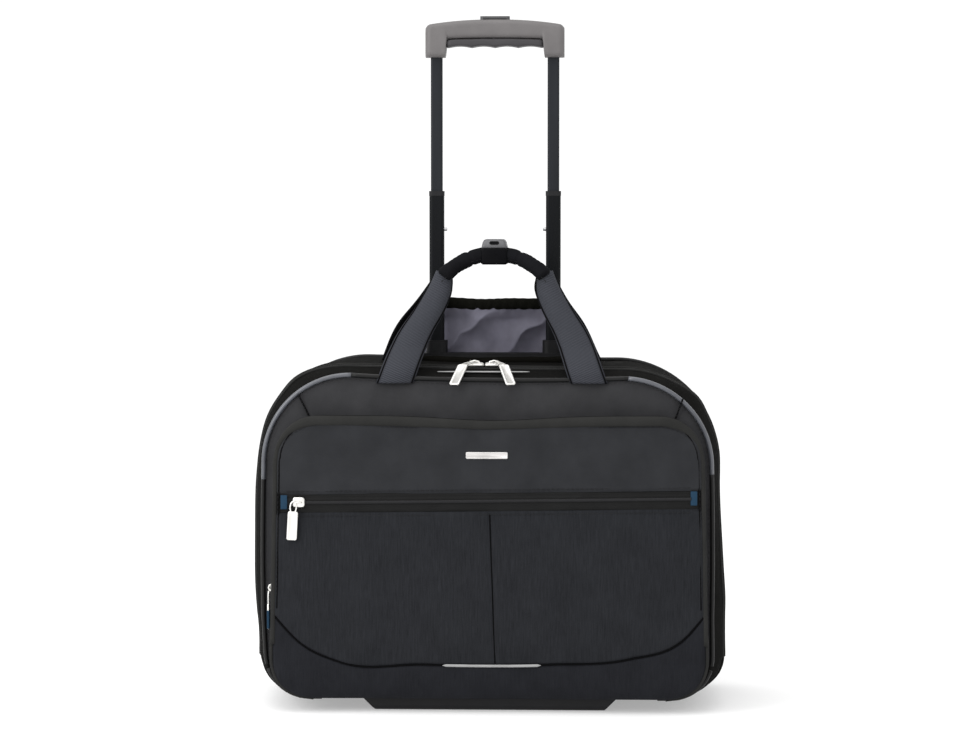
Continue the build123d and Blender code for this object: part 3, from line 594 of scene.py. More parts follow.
def resample(path, step, other=None):
    """Points along a path, evenly spaced, and a second set of values carried along with them."""
    path = np.asarray(path, float)
    run = np.concatenate([[0.0], np.cumsum(np.linalg.norm(np.diff(path, axis=0), axis=1))])
    wanted = np.linspace(0, run[-1], max(2, int(round(run[-1] / step)) + 1))
    values = path if other is None else np.hstack([path, np.broadcast_to(other, path.shape)])
    even = np.stack([np.interp(wanted, run, column) for column in values.T], axis=1)
    return even if other is None else (even[:, :3], even[:, 3:])


COIL_PITCH = 1.7
COIL_REACH = 2.8
COIL_HEIGHT = 1.5
COIL_THIN = 0.95
STITCH_LIFT = 0.15
STITCH_THICK = (0.5, 0.4)


def coil_half(name, path, up, side_sign, body):
    """One side of a zip's coil: a slim tooth at each turn, reaching across from the tape."""
    line, up = resample(path, COIL_PITCH, np.asarray(up, float))
    if side_sign < 0:
        line = (line[:-1] + line[1:]) / 2
        up = up[:-1]
    tangent, side, high = frames(line, False, up)
    across = side * side_sign
    directions = np.stack([tangent, across, high], axis=1)
    places = line + across * (COIL_REACH * 0.5 - 0.6) + high * COIL_HEIGHT * 0.3
    obj = blocks(name, places, directions, (COIL_THIN, COIL_REACH, COIL_HEIGHT), M["coil"])
    attach(obj, body, "zip_tape")


def stitches(name, path, up, body, length=3.0, gap=1.5):
    """A row of stitches: short bars laid along a seam."""
    line, up = resample(path, length + gap, np.asarray(up, float))
    tangent, side, high = frames(line, False, up)
    directions = np.stack([tangent, side, high], axis=1)
    attach(blocks(name, line + high * STITCH_LIFT, directions, (length, *STITCH_THICK), M["thread"]), body)


def rounded_ring(half_a, half_b, radius, steps=5):
    """Points round a rectangle with rounded corners."""
    radius = min(radius, half_a - 0.01, half_b - 0.01)
    ring = []
    for corner, (sa, sb) in enumerate(((1, 1), (-1, 1), (-1, -1), (1, -1))):
        for angle in np.linspace(0, math.pi / 2, steps) + corner * math.pi / 2:
            ring.append((sa * (half_a - radius) + radius * math.cos(angle),
                         sb * (half_b - radius) + radius * math.sin(angle)))
    return np.array(ring)


FACING_FRONT = ((1, 0, 0), (0, 0, 1), (0, -1, 0))
FACING_UP = ((1, 0, 0), (0, 1, 0), (0, 0, 1))


def stack(name, sections, place, axes, material, body, slot, *nodes):
    """A closed form from rounded-rectangle sections: (height, half a, half b, corner radius)."""
    along_a, along_b, along_n = (np.asarray(a, float) / np.linalg.norm(a) for a in axes)
    points, faces = [], []
    for height, half_a, half_b, radius in sections:
        ring = rounded_ring(half_a, half_b, radius)
        points += [np.asarray(place) + a * along_a + b * along_b + height * along_n for a, b in ring]
    n = len(ring)
    for start in range(0, (len(sections) - 1) * n, n):
        faces += [(start + k, start + (k + 1) % n, start + n + (k + 1) % n, start + n + k) for k in range(n)]
    faces.append(tuple(range(n))[::-1])
    faces.append(tuple(range(len(points) - n, len(points))))
    obj = make_object(name, points, faces, material)
    recalculate(obj)
    attach(obj, body, slot, *nodes)


def pillow(half_a, half_b, radius, thick, edge):
    """Sections for a slab with softly rounded rims."""
    rim = edge * 0.3
    levels = ((0.0, edge), (rim, rim), (edge, 0.0), (thick - edge, 0.0), (thick - rim, rim), (thick, edge))
    return [(height, half_a - inset, half_b - inset, radius) for height, inset in levels]


def wobble(points, size, amount, seed=0.0):
    """A smooth random height for each point, the same on every run."""
    flat = np.asarray(points, float).reshape(-1, 3) / size + seed
    values = np.array([noise.noise(Vector(p)) for p in flat])
    return (values * amount).reshape(np.asarray(points).shape[:-1])


def smooth_curve(x, knots, values):
    """A smooth curve through a few knots."""
    knots, values = np.asarray(knots, float), np.asarray(values, float)
    slopes = np.gradient(values, knots)
    x = np.clip(np.asarray(x, float), knots[0], knots[-1])
    k = np.clip(np.searchsorted(knots, x) - 1, 0, len(knots) - 2)
    h = knots[k + 1] - knots[k]
    t = (x - knots[k]) / h
    return ((2 * t**3 - 3 * t**2 + 1) * values[k] + (t**3 - 2 * t**2 + t) * h * slopes[k]
            + (3 * t**2 - 2 * t**3) * values[k + 1] + (t**3 - t**2) * h * slopes[k + 1])


def bump_between(x, low, high):
    """A half sine that rises from low and falls again at high."""
    t = np.clip((np.asarray(x, float) - low) / (high - low), 0, 1)
    return np.sin(math.pi * t)


# ---------------------------------------------------------------- the body's outline
# At a few depths from front to back: half width, top, bottom, upper corner radius, and how far the
# soft body leans to the left.
DEPTHS = (FRONT + 1.0, FRONT + 20, ZIP_Y, ZIP_Y + 35, ZIP_Y + 75, BACK - 14, BACK + 2.5)
HALVES = (FRONT_HALF - 0.5, FRONT_HALF + 7.5, HALF - 0.5, HALF + 1.6, HALF + 2.2, HALF + 0.6, HALF - 1.5)
TOPS = (FRONT_TOP + 2.4, FRONT_TOP + 7.0, TOP - 1.0, TOP + 0.4, TOP + 1.0, TOP + 1.0, TOP + 0.6)
BOTTOMS = (BOTTOM + 2.0, BOTTOM + 0.8, BOTTOM, BOTTOM - 0.4, BOTTOM - 0.4, BOTTOM, BOTTOM + 0.5)
UPPER_RADII = (82.0, 87.0, 93.0, 98.0, 100.0, 100.0, 99.0)
LEANS = (-2.0, -2.4, -3.0, -4.2, -4.3, -2.2, -2.0)
SAGS = (3.0, 1.8, 0.6, 1.8, 3.2, 2.4, 1.0)
SAG_REACH = 130.0
TOP_TILT = 0.011                      # the top falls this much to the right
# The soft sides are drawn in (+) or stand proud (-) around a few heights: (height, reach, depth).
LEFT_SWELLS = ((165, 110, 3.2), (70, 35, 3.4), (248, 30, 3.4), (316, 15, -7.0))
RIGHT_SWELLS = ((208, 68, 4.2), (100, 25, -1.4), (299, 15, -4.5))
SIDE_BOW = 1.2                        # how far the straight part of a side stands proud
LOWER_RADIUS = 40.0
BODY_MIDDLE = 168.0
TRAY_HALF = TRAY_HIGH[0] - 2.0
HOUSING_EDGE = HOUSING_LOW[0] + 2.0
COUNTS = (16, 4, 14, 24, 28, 8, 16)


def half_outline(half, low, high, r_high):
    """The right half of an outline, from the bottom's middle to the top's middle."""
    n = COUNTS
    cx, cz = half - LOWER_RADIUS, low + LOWER_RADIUS
    tx, tz = half - r_high, high - r_high
    turn = math.pi / 2
    runs = [
        [(x, low) for x in spread(0, HOUSING_EDGE, n[0])],
        [(x, low) for x in spread(HOUSING_EDGE, cx, n[1])],
        [(cx + LOWER_RADIUS * math.cos(a), cz + LOWER_RADIUS * math.sin(a)) for a in spread(-turn, 0, n[2])],
        [(half + SIDE_BOW * math.sin(math.pi * t), cz + (tz - cz) * t) for t in spread(0, 1, n[3])],
        [(tx + r_high * math.cos(a), tz + r_high * math.sin(a)) for a in spread(0, turn, n[4])],
        [(x, high) for x in spread(tx, TRAY_HALF, n[5])],
        [(x, high) for x in spread(TRAY_HALF, 0, n[6])],
    ]
    return np.array([p for run in runs for p in run] + [(0.0, high)])


def swell(z, places):
    """How far a side is drawn in at a height: the sum of a few smooth hollows and swellings."""
    return sum(depth * np.exp(-((z - middle) / reach) ** 2) for middle, reach, depth in places)


def outline(y, grow=0.0):
    """The body's closed outline at a depth: points (x, z) and their outward normals."""
    half = smooth_curve(y, DEPTHS, HALVES) + grow
    high = smooth_curve(y, DEPTHS, TOPS) + grow
    low = smooth_curve(y, DEPTHS, BOTTOMS) - grow
    right = half_outline(half, low, high, smooth_curve(y, DEPTHS, UPPER_RADII) + grow)
    left = right[-2:0:-1] * (-1, 1)
    ring = np.concatenate([right, left])
    sag = np.clip(1 - (ring[:, 0] / SAG_REACH) ** 2, 0, 1)
    ring[:, 1] -= smooth_curve(y, DEPTHS, SAGS) * sag * (ring[:, 1] > BODY_MIDDLE)
    ring[:, 0] += smooth_curve(y, DEPTHS, LEANS) * np.clip((ring[:, 1] - 30) / 60, 0, 1)
    near_side = np.clip((np.abs(ring[:, 0]) - 100) / 60, 0, 1) * np.clip((y - FRONT - 2) / 30, 0, 1)
    near_side = near_side * np.clip((DIVIDER_FRONT - 4.0 - y) / 22, 0, 1)      # clear of the stiff divider
    ring[:, 0] += near_side * np.where(ring[:, 0] < 0, swell(ring[:, 1], LEFT_SWELLS),
                                       -swell(ring[:, 1], RIGHT_SWELLS))
    ring[:, 1] -= TOP_TILT * ring[:, 0] * np.clip((ring[:, 1] - BODY_MIDDLE) / 150, 0, 1)
    along = np.roll(ring, -1, 0) - np.roll(ring, 1, 0)
    normal = np.stack([along[:, 1], -along[:, 0]], axis=1)
    return ring, normal / np.linalg.norm(normal, axis=1)[:, None]


def shell_rows(depths, lift=0.0, texture=0.0, seed=0.0):
    """Rows of body outline points, one for each depth, each lifted off the outline."""
    lifts = np.broadcast_to(np.asarray(lift, float), len(depths))
    rows = []
    for y, up in zip(depths, lifts):
        ring, normal = outline(y)
        points = np.column_stack([ring[:, 0], np.full(len(ring), y), ring[:, 1]])
        if texture:
            up = up + wobble(points, 55.0, texture, seed) + wobble(points, 18.0, texture * 0.3, seed + 7)
        points[:, 0] += normal[:, 0] * up
        points[:, 2] += normal[:, 1] * up
        rows.append(points)
    return np.array(rows)


def ring_path(y, grow=0.0):
    """A closed path round the body at a depth, and its outward normals."""
    ring, normal = outline(y, grow)
    path = np.column_stack([ring[:, 0], np.full(len(ring), y), ring[:, 1]])
    outward = np.column_stack([normal[:, 0], np.zeros(len(ring)), normal[:, 1]])
    return path, outward


def stretch(path, outward, mask):
    """The one run of a closed path where mask holds, in order."""
    start = next(i for i in range(len(mask)) if mask[i] and not mask[i - 1])
    order = [(start + k) % len(mask) for k in range(len(mask))]
    run = []
    for index in order:
        if not mask[index]:
            break
        run.append(index)
    return path[run], outward[run]


BODY_CENTRE = (0.0, 10.0, BODY_MIDDLE)


# ---------------------------------------------------------------- case body
SPINE_HALF = 110.0
WELT_RADIUS = 2.3


def over_housing(x):
    """Whether a place is well within the width of a wheel housing."""
    return HOUSING_LOW[0] + 2 < abs(x) < HOUSING_HIGH[0] - 2


def make_case_skin():
    """The gusset: one fabric wall round the case, bulging a little between the zip and the back."""
    depths = np.concatenate([np.linspace(ZIP_Y + 4.5, TRAY_LOW[1] + 1.5, 30),
                             np.linspace(TRAY_HIGH[1] - 1.5, BACK + 2.5, 4)])
    lift = np.concatenate([[-1.4, 0.1, 0.5], np.zeros(len(depths) - 5), [-0.2, -0.8]])
    rows = shell_rows(depths, lift, 1.1, 3.0)

    def keep(c):
        in_tray = abs(c[0]) < TRAY_HALF and TRAY_LOW[1] + 1.5 < c[1] < TRAY_HIGH[1] - 1.5 and c[2] > 200
        at_wheel = over_housing(c[0]) and c[1] > HOUSING_LOW[1] + 2 and c[2] < 70
        return not (in_tray or at_wheel)

    skin = surface("case_gusset", rows, M["body"], close_v=True, outward=BODY_CENTRE, thick=2.2, keep=keep)
    attach(skin, "case", "body_fabric", "gusset")


def disc_grid(path, steps):
    """A grid that fills a closed outline towards a short spine, denser at the rim."""
    level = np.full(len(path), BODY_MIDDLE)
    spine = np.column_stack([np.clip(path[:, 0], -SPINE_HALF, SPINE_HALF), path[:, 1], level])
    share = np.sin(np.linspace(0, math.pi / 2, steps))
    return np.array([spine + (path - spine) * s for s in share]), share


def closed_uv(grid):
    """A grid's own X and Z as texture coordinates, ending with its first column again."""
    return tuple(np.concatenate([f, f[:, :1]], axis=1) for f in (grid[..., 0], grid[..., 2]))


def make_back_skin():
    """The back panel, slightly hollow, with a welt round it."""
    path, outward = ring_path(BACK + 2.6, -1.2)
    grid, share = disc_grid(path, 26)
    fill = 1 - share[:, None] ** 6
    grid[..., 1] = BACK + 3.2 + 1.2 * fill + wobble(grid, 70.0, 1.4, 21.0) * fill

    def keep(c):
        return not (over_housing(c[0]) and c[2] < HOUSING_HIGH[2] - 2)

    skin = surface("back_fabric", grid, M["body"], close_v=True, outward=BODY_CENTRE, uv=closed_uv(grid),
                   thick=2.0, keep=keep)
    weld(skin)
    attach(skin, "case", "body_fabric", "back_panel")
    path, outward = ring_path(BACK + 2.4, 0.6)
    across = abs(path[:, 0])
    clear = ~((HOUSING_LOW[0] < across) & (across < HOUSING_HIGH[0]) & (path[:, 2] < 100))
    between = (across < HOUSING_LOW[0]) & (path[:, 2] < 60)
    for name, mask, nodes in (("back_welt", clear & ~between, ["back_piping"]),
                              ("back_welt_low", clear & between, [])):
        line, _ = stretch(path, outward, mask)
        attach(tube(name, line, WELT_RADIUS, M["piping"]), "case", "piping", *nodes)


# ---------------------------------------------------------------- front section
POCKET_HALF = (203.5, 199.0)          # half width of the pocket, low and high
POCKET_RADIUS = 40.0
CORNER_CENTRE_Z = 50.5                # the front panel's lower corners
CORNER_R = 38.0
FLOOR_Z = CORNER_CENTRE_Z - CORNER_R
UNDER_Z = 47.0                        # below this the front panel curves under
SEAM_X = (-206.0, -176.0, -140.0, -60.0, 60.0, 130.0, 182.0, 208.0)
SEAM_Z = (99.0, 67.0, 49.5, 47.3, 48.0, 53.0, 72.0, 102.0)
UPRIGHT_TOP = 190.5                   # where the upright seam starts, below the face zip
POCKET_COIL_Y = -93.0
DARTS = (((-179.0, 299.0), (-167.5, 276.0)), ((181.0, 296.0), (174.0, 277.0)))


def pocket_sag(x):
    """How far the pocket's top edge dips in the middle."""
    return 4.4 * np.exp(-((np.asarray(x, float) - 5.0) / 62.0) ** 2)


def panel_half(z):
    """Half the front panel's width at a height, round its upper and lower corners."""
    z = np.asarray(z, float)
    half = np.interp(z, (POCKET_HINGE_Z - 60, POCKET_TOP), POCKET_HALF)
    up = np.clip(z - (POCKET_TOP - POCKET_RADIUS), 0, POCKET_RADIUS)
    down = np.clip(CORNER_CENTRE_Z - z, 0, CORNER_R)
    half = half - POCKET_RADIUS + np.sqrt(POCKET_RADIUS**2 - up**2)
    return half - CORNER_R + np.sqrt(CORNER_R**2 - down**2)


def panel_depth(x, z):
    """Depth of the front panel's face: crowned, rolled at its edges, curving under at the foot."""
    half = panel_half(z)
    under = np.clip((UNDER_Z - z) / (UNDER_Z - FLOOR_Z + 0.5), 0, 1)
    lift = np.clip((z - UNDER_Z) / 25.0, 0, 1)
    face = FRONT - 1.0 - 17.0 * np.sqrt(1 - under**2) - 3.0 * lift * (2 - lift)
    crown = 3.0 * np.clip(1 - (x / half) ** 2, 0, 1) * bump_between(z, 20.0, POCKET_TOP + 20)
    edge = np.clip((6.0 - (half - np.abs(x))) / 6.0, 0, 1)
    return face - crown + 3.2 * (1 - np.sqrt(1 - edge**2))


def on_panel(x, z, sink=0.0):
    """Points on the front panel's face, or sunk a little into it."""
    return np.column_stack([x, panel_depth(x, z) + sink, z])


def seam_height(x):
    return smooth_curve(x, SEAM_X, SEAM_Z)


def zip_height(x):
    return FACE_ZIP_Z + np.asarray(x, float) * math.tan(FACE_ZIP_TILT)


def groove(distance, depth, width):
    return depth * np.exp(-(distance / width) ** 2)


def distance_to(x, z, start, end):
    """Distance in the panel from points to a short straight seam."""
    start, end = np.array(start), np.array(end)
    run = end - start
    t = np.clip(((x - start[0]) * run[0] + (z - start[1]) * run[1]) / (run @ run), 0, 1)
    return np.hypot(x - start[0] - t * run[0], z - start[1] - t * run[1])


def panel_grid(low, high, rows, columns=150):
    """Points of the front panel between two heights that are functions of x."""
    share = np.linspace(-1, 1, columns)
    level = (1 - np.cos(np.linspace(0, math.pi, rows))) / 2
    share, level = np.meshgrid(share, level, indexing="ij")
    guess = share * POCKET_HALF[0]
    z = low(guess) * (1 - level) + high(guess) * level
    x = share * panel_half(z)
    return x, low(x) * (1 - level) + high(x) * level


def panel_piece(name, material, low, high, seed, shape=None, rows=40):
    """One panel of the front, with its edges sunk and a soft unevenness that the seed picks."""
    x, z = panel_grid(low, high, rows)
    y = panel_depth(x, z) + groove(z - low(x), 1.4, 1.6) + groove(high(x) - z, 1.4, 1.6)
    flat = np.stack([x, np.zeros_like(x), z], axis=2)
    y = y - wobble(flat, 62.0, 1.5, seed) - wobble(flat, 21.0, 0.35, seed + 5)
    if shape is not None:
        y = y + shape(x, z)
    grid = np.stack([x, y, z], axis=2)
    return surface(name, grid, material, outward=BODY_CENTRE, uv=(x, z), thick=1.6)


def middle_seam_x(z):
    return 1.2 + (UPRIGHT_TOP - z) * 0.034


def make_lower_panel():
    def seam(x, z):
        return groove(x - middle_seam_x(z), 1.1, 1.3)

    panel = panel_piece("pocket_front_lower", M["slub"], seam_height, lambda x: zip_height(x) - 9.5, 31.0,
                        seam, 56)
    bend(panel, POCKET_FOLD, "slub_fabric")


def make_upper_panel():
    panel = panel_piece("pocket_front_upper", M["upper"], lambda x: zip_height(x) + 7.5,
                        lambda x: POCKET_TOP - 4.5 - pocket_sag(x), 47.0)
    attach(panel, "pocket_panel", "pocket_fabric", "pocket_shell")


def make_bottom_band():
    # The band takes the darker copy of the slub fabric, as painted shade where the front curves under.
    band = panel_piece("front_foot_band", M["low"], lambda x: np.full_like(x, FLOOR_Z + 0.2), seam_height,
                       59.0, rows=34)
    bend(band, LID_FOLD, "slub_fabric", "lower_pocket")


def edge_path(z_low, inset=0.0):
    """The pocket's edge, up the left side, over the top and down the right side."""
    start, reach = POCKET_TOP - POCKET_RADIUS, POCKET_RADIUS - inset
    turn = np.linspace(0.06, math.pi / 2, 16)
    side_z = np.linspace(z_low, start, 30)
    z = np.concatenate([side_z, start + reach * np.sin(turn)])
    half = np.concatenate([panel_half(side_z) - inset, POCKET_HALF[1] - POCKET_RADIUS + reach * np.cos(turn)])
    left = np.column_stack([-half, z])
    top = np.column_stack([np.linspace(-half[-1], half[-1], 40)[1:-1], np.full(38, z[-1])])
    path = np.concatenate([left, top, left[::-1] * (-1, 1)])
    path[:, 1] -= pocket_sag(path[:, 0])
    ahead = np.gradient(path, axis=0)
    normal = np.column_stack([-ahead[:, 1], ahead[:, 0]])
    return path, normal / np.linalg.norm(normal, axis=1)[:, None]


def at_depth(path, y):
    return np.column_stack([path[:, 0], np.broadcast_to(y, len(path)), path[:, 1]])


def outward_of(normal):
    return np.column_stack([normal[:, 0], np.zeros(len(normal)), normal[:, 1]])


def make_pocket_edges():
    """The pocket's gusset, its zip and the rolled binding round the pocket's face."""
    path, normal = edge_path(70.0)
    depths = (FRONT - 3.0, FRONT - 5.0, FRONT - 7.5, POCKET_COIL_Y,
              POCKET_FACE + 7.5, POCKET_FACE + 4.0, POCKET_FACE + 1.5)
    lifts = (-0.4, 1.0, 0.2, -1.0, 0.2, 0.8, 0.2)
    rows = np.array([at_depth(path + normal * lift, y) for y, lift in zip(depths, lifts)])
    gusset = surface("pocket_gusset", rows, M["body"], outward=BODY_CENTRE)
    bend(gusset, POCKET_FOLD, "pocket_fabric", "pocket_zip_tape")
    roll, roll_normal = edge_path(66.0, 0.8)
    share = np.clip((roll[:, 1] - POCKET_TOP + 32) / 30, 0, 1) ** 2      # 1 along the top, its fullest part
    centre = roll - roll_normal * (2.2 * share)[:, None]
    binding = tube("pocket_binding", at_depth(centre, POCKET_FACE + 1.6 - 1.2 * share), 2.3 + 2.5 * share,
                   M["hem"], sides=16, flatten=0.72)
    bend(binding, POCKET_FOLD, "pocket_fabric")
    seam = at_depth(roll - roll_normal * (3.2 + 4.6 * share)[:, None], POCKET_FACE - 0.2)
    stitches("binding_stitches", seam[8:-8], (0, -1, 0), "pocket_panel")
    chain, chain_normal = edge_path(POCKET_HINGE_Z + 4)
    up = outward_of(chain_normal)
    line = at_depth(chain - chain_normal * 0.4, POCKET_COIL_Y)
    coil_half("pocket_coil_rear", line + (0, 1.0, 0), up, 1, "lid")
    coil_half("pocket_coil_front", line - (0, 1.0, 0), up, -1, "pocket_panel")


def make_lower_edges():
    """The rolled edges of the front panel below the pocket, and the wall behind them."""
    z = np.linspace(FLOOR_Z, 74.0, 30)
    half = panel_half(z)
    for side, word in ((-1, "left"), (1, "right")):
        edge = np.column_stack([side * (half + 0.4), panel_depth(half, z), z])
        roll = tube(f"foot_edge_{word}", edge, 1.7, M["hem"])
        back = np.column_stack([side * (half + 0.4), np.full(30, FRONT - 1.0), z])
        rows = np.array([back + (edge - back) * s for s in np.linspace(0, 1, 6)])
        wall = surface(f"foot_wall_{word}", rows, M["body"], outward=(0, -90, 100))
        bend(roll, LID_FOLD, "slub_fabric")
        bend(wall, LID_FOLD, "slub_fabric")


def make_seams():
    """Near-black lines where panels are sewn together, sunk in their grooves: painted shade in the grooves and
    under the pocket's binding.
    """
    x = np.linspace(-202.0, 204.0, 120)
    curved = tube("curved_seam", on_panel(x, seam_height(x), 0.5), 0.8, M["seam"], sides=8)
    attach(curved, "lid", "slub_fabric")
    z = np.linspace(float(seam_height(1.2)) + 2, float(zip_height(0.0)) - 12.0, 40)
    upright = on_panel(middle_seam_x(z), z, 0.5)
    rim = on_panel(*edge_path(100.0, 4.6)[0].T, 0.3)
    for name, line, radius in (("upright_seam", upright, 0.6), ("rim_seam", rim, 0.7)):
        bend(tube(name, line, radius, M["seam"], sides=8), POCKET_FOLD, "slub_fabric")
    for index, (start, end) in enumerate(DARTS):
        line = np.linspace((start[0], FRONT - 2.2, start[1]), (end[0], FRONT - 3.2, end[1]), 8)
        attach(tube(f"dart_seam_{index}", line, 0.8, M["seam"], sides=8), "lid", "front_fabric")


def make_face_zip():
    """The horizontal zip: a recessed ribbed tape, its coil, and stitched hems above and below."""
    x = np.linspace(-197.0, 196.0, 120)
    offsets = (-10.2, -8.8, -6.8, -6.0, -5.2, -4.4, -3.4, 0.0, 3.4, 4.4, 5.2, 6.0, 6.8, 8.6)
    sinks = (2.6, 1.7, 1.5, 1.0, 1.5, 1.5, 0.9, 1.0, 0.9, 1.5, 1.5, 1.0, 1.5, 2.4)
    rows = [on_panel(x, zip_height(x) + offset, sink) for offset, sink in zip(offsets, sinks)]
    tape = surface("face_zip_tape_cloth", np.array(rows), M["tape"], outward=BODY_CENTRE)
    attach(tape, "pocket_panel", "zip_tape", "face_zip_tape")
    run = np.linspace(-184.0, 188.0, 60)
    line = on_panel(run, zip_height(run), 0.5)
    coil_half("face_coil_upper", line + (0, 0, 0.9), (0, -1, 0), 1, "pocket_panel")
    coil_half("face_coil_lower", line - (0, 0, 0.9), (0, -1, 0), -1, "pocket_panel")
    for word, offset in (("above", 10.4), ("below", -12.6)):
        seam = on_panel(x, zip_height(x) + offset)[3:-3]
        stitches(f"face_stitches_{word}", seam, (0, -1, 0), "pocket_panel")
    for tab_x, word, nodes in ((-191.0, "left", ["zip_end_tabs"]), (191.0, "right", [])):
        centre = (tab_x, panel_depth(tab_x, FACE_ZIP_Z) + 1.2, float(zip_height(tab_x)) + 0.5)
        stack(f"zip_tab_{word}", pillow(3.1, 6.6, 0.6, 1.6, 0.5), centre, FACING_FRONT, M["blue"],
              "pocket_panel", "blue_tab", *nodes)


def make_front_wall():
    """The narrowing wall between the main zip and the front piping."""
    depths = np.linspace(FRONT + 1.0, ZIP_Y - 4.5, 12)
    lift = np.concatenate([[-1.0], np.full(9, 0.4), [0.2, -1.2]])
    wall = surface("front_wall", shell_rows(depths, lift, 0.9, 13.0), M["body"], close_v=True,
                   outward=BODY_CENTRE, thick=2.0)
    bend(wall, LID_FOLD, "front_fabric", "front_shell", "front_base")


def make_front_face():
    """The front of the lid, full over the pocket, with a dart in each upper corner."""
    path, _ = ring_path(FRONT + 0.6, -0.8)
    grid, share = disc_grid(path, 30)
    rim = (1 - share)[:, None] * 100.0
    fill = 6.0 * (1 - np.exp(-rim / 12.0))
    for start, end in DARTS:
        fill = fill - groove(distance_to(grid[..., 0], grid[..., 2], start, end), 1.6, 1.4)
    grid[..., 1] = FRONT + 1.4 - fill - wobble(grid, 48.0, 1.4, 83.0) * np.clip(rim / 20, 0, 1)
    face = surface("front_face", grid, M["band"], close_v=True, outward=BODY_CENTRE, uv=closed_uv(grid))
    weld(face)
    bend(face, LID_FOLD, "front_fabric", "front_board")
    for index, (start, end) in enumerate(DARTS):
        line = np.array([(start[0], FRONT - 3.2, start[1]), (end[0], FRONT - 4.2, end[1])])
        stitches(f"dart_stitches_{index}", line, (0, -1, 0), "lid", 2.0, 1.2)


def make_front_piping():
    """The welt round the front, in black lengths and two reflective ones that overlap them."""
    path, outward = ring_path(FRONT + 0.4, 0.6)
    x, z = path[:, 0], path[:, 2]
    high = z > LID_HINGE_Z + 2
    shiny = (np.abs(x) > 126.0) & (z > 218.0)
    runs = [
        ("piping_low_left", ~high & (x < -150.0), "piping", "case", []),
        ("piping_low_right", ~high & (x > 150.0), "piping", "case", []),
        ("piping_left", high & (x < 0) & (z < 228.0), "piping", "lid", []),
        ("piping_right", high & (x > 0) & (z < 228.0), "piping", "lid", []),
        ("piping_top", high & (np.abs(x) < 133.0), "piping", "lid", ["front_piping"]),
        ("piping_bright_left", shiny & (x < 0), "reflective", "lid", ["reflective_piping"]),
        ("piping_bright_right", shiny & (x > 0), "reflective", "lid", []),
    ]
    for name, mask, kind, body, nodes in runs:
        line, _ = stretch(path, outward, mask)
        attach(tube(name, line, 2.16 if kind == "reflective" else 2.1, M[kind]), body, kind, *nodes)
    rim, _ = stretch(*ring_path(FRONT + 1.6, -3.4), ring_path(FRONT, 0)[0][:, 2] > LID_HINGE_Z + 4)
    stitches("piping_stitches", rim + (0, -3.4, 0), (0, -1, 0), "lid")


def upper_run(y, grow, lift):
    """The line round the body at a depth, from one side of the lid's fold to the other."""
    path, outward = ring_path(y, grow)
    return stretch(path, outward, path[:, 2] > LID_HINGE_Z + lift)


def make_main_zip():
    """The main zip round the case: two hems, two tapes and the coil between them."""
    for name, span, lift, body in (("rear", (0.5, 5.0), (-0.9, -0.6), "case"),
                                   ("front", (-5.0, -0.5), (-0.6, -0.9), "lid")):
        rows = shell_rows(np.linspace(ZIP_Y + span[0], ZIP_Y + span[1], 5), np.linspace(*lift, 5))
        tape = surface(f"main_tape_{name}", rows, M["tape"], close_v=True, outward=BODY_CENTRE, thick=0.8,
                       keep=lambda c: c[2] > LID_HINGE_Z + 4)
        attach(tape, body, "zip_tape", f"main_zip_tape_{name}")
    coil_half("main_coil_rear", *upper_run(ZIP_Y + 1.0, -0.6, 6), 1, "case")
    coil_half("main_coil_front", *upper_run(ZIP_Y - 1.0, -0.6, 6), -1, "lid")
    for name, side, body in (("main_hem_rear", 1, "case"), ("main_hem_front", -1, "lid")):
        y = ZIP_Y + side * 5.6
        attach(tube(name, upper_run(y, 0.2, 4)[0], 1.3, M["hem"], sides=10), body, "zip_tape")
        stitches(name + "_stitches", *upper_run(y + side * 3.2, 0.6, 6), body)


def make_reflective_strips():
    """The spindle behind the main zip's pulls, and the bar set into the curved seam."""
    share = np.linspace(-1, 1, 40)
    x = -6.0 + 43.5 * share
    rows = []
    for across in np.linspace(-1, 1, 5):
        y = -66.0 + across * (0.3 + 1.5 * np.sqrt(1 - share**2))
        z = [outline(float(v))[0][:, 1].max() - 1.0 for v in y]
        rows.append(np.column_stack([x, y, np.array(z) + 0.2]))
    spindle = surface("spindle_strip", np.array(rows), M["strip"], outward=(0, -66, 0), thick=0.4)
    x = np.linspace(-43.0, 49.0, 30)
    taper = np.minimum(1, np.minimum(x + 43.6, 49.6 - x) / 3.0)
    rows = []
    for across in np.linspace(-1, 1, 5):
        z = seam_height(x) - 0.3 + 1.3 * across * taper
        rows.append(np.column_stack([x, panel_depth(x, z) - 0.9 + 0.5 * across**2, z]))
    bar = surface("seam_strip", np.array(rows), M["strip"], outward=BODY_CENTRE, thick=0.6)
    attach(spindle, "lid", "reflective")
    attach(bar, "lid", "reflective", "reflective_strips")


def make_nameplate():
    """A blank plate with a raised rim and slightly rounded corners."""
    half_a, _, half_b = (PLATE_HIGH - PLATE_LOW) / 2
    middle = (PLATE_HIGH + PLATE_LOW) / 2
    centre = (middle[0], panel_depth(0.0, 244.0) + 0.4, middle[2])
    sections = [(0, half_a, half_b, 1.4), (1.2, half_a, half_b, 1.4), (1.7, half_a - 0.4, half_b - 0.4, 1.2),
                (1.7, half_a - 1.0, half_b - 1.0, 0.9), (1.35, half_a - 1.3, half_b - 1.3, 0.7)]
    stack("blank_plate", sections, centre, FACING_FRONT, M["plate"], "pocket_panel", "plate_metal", "nameplate")


# ---------------------------------------------------------------- zip sliders and pulls
WIRE = 0.75
LOOP_HALF = 2.9


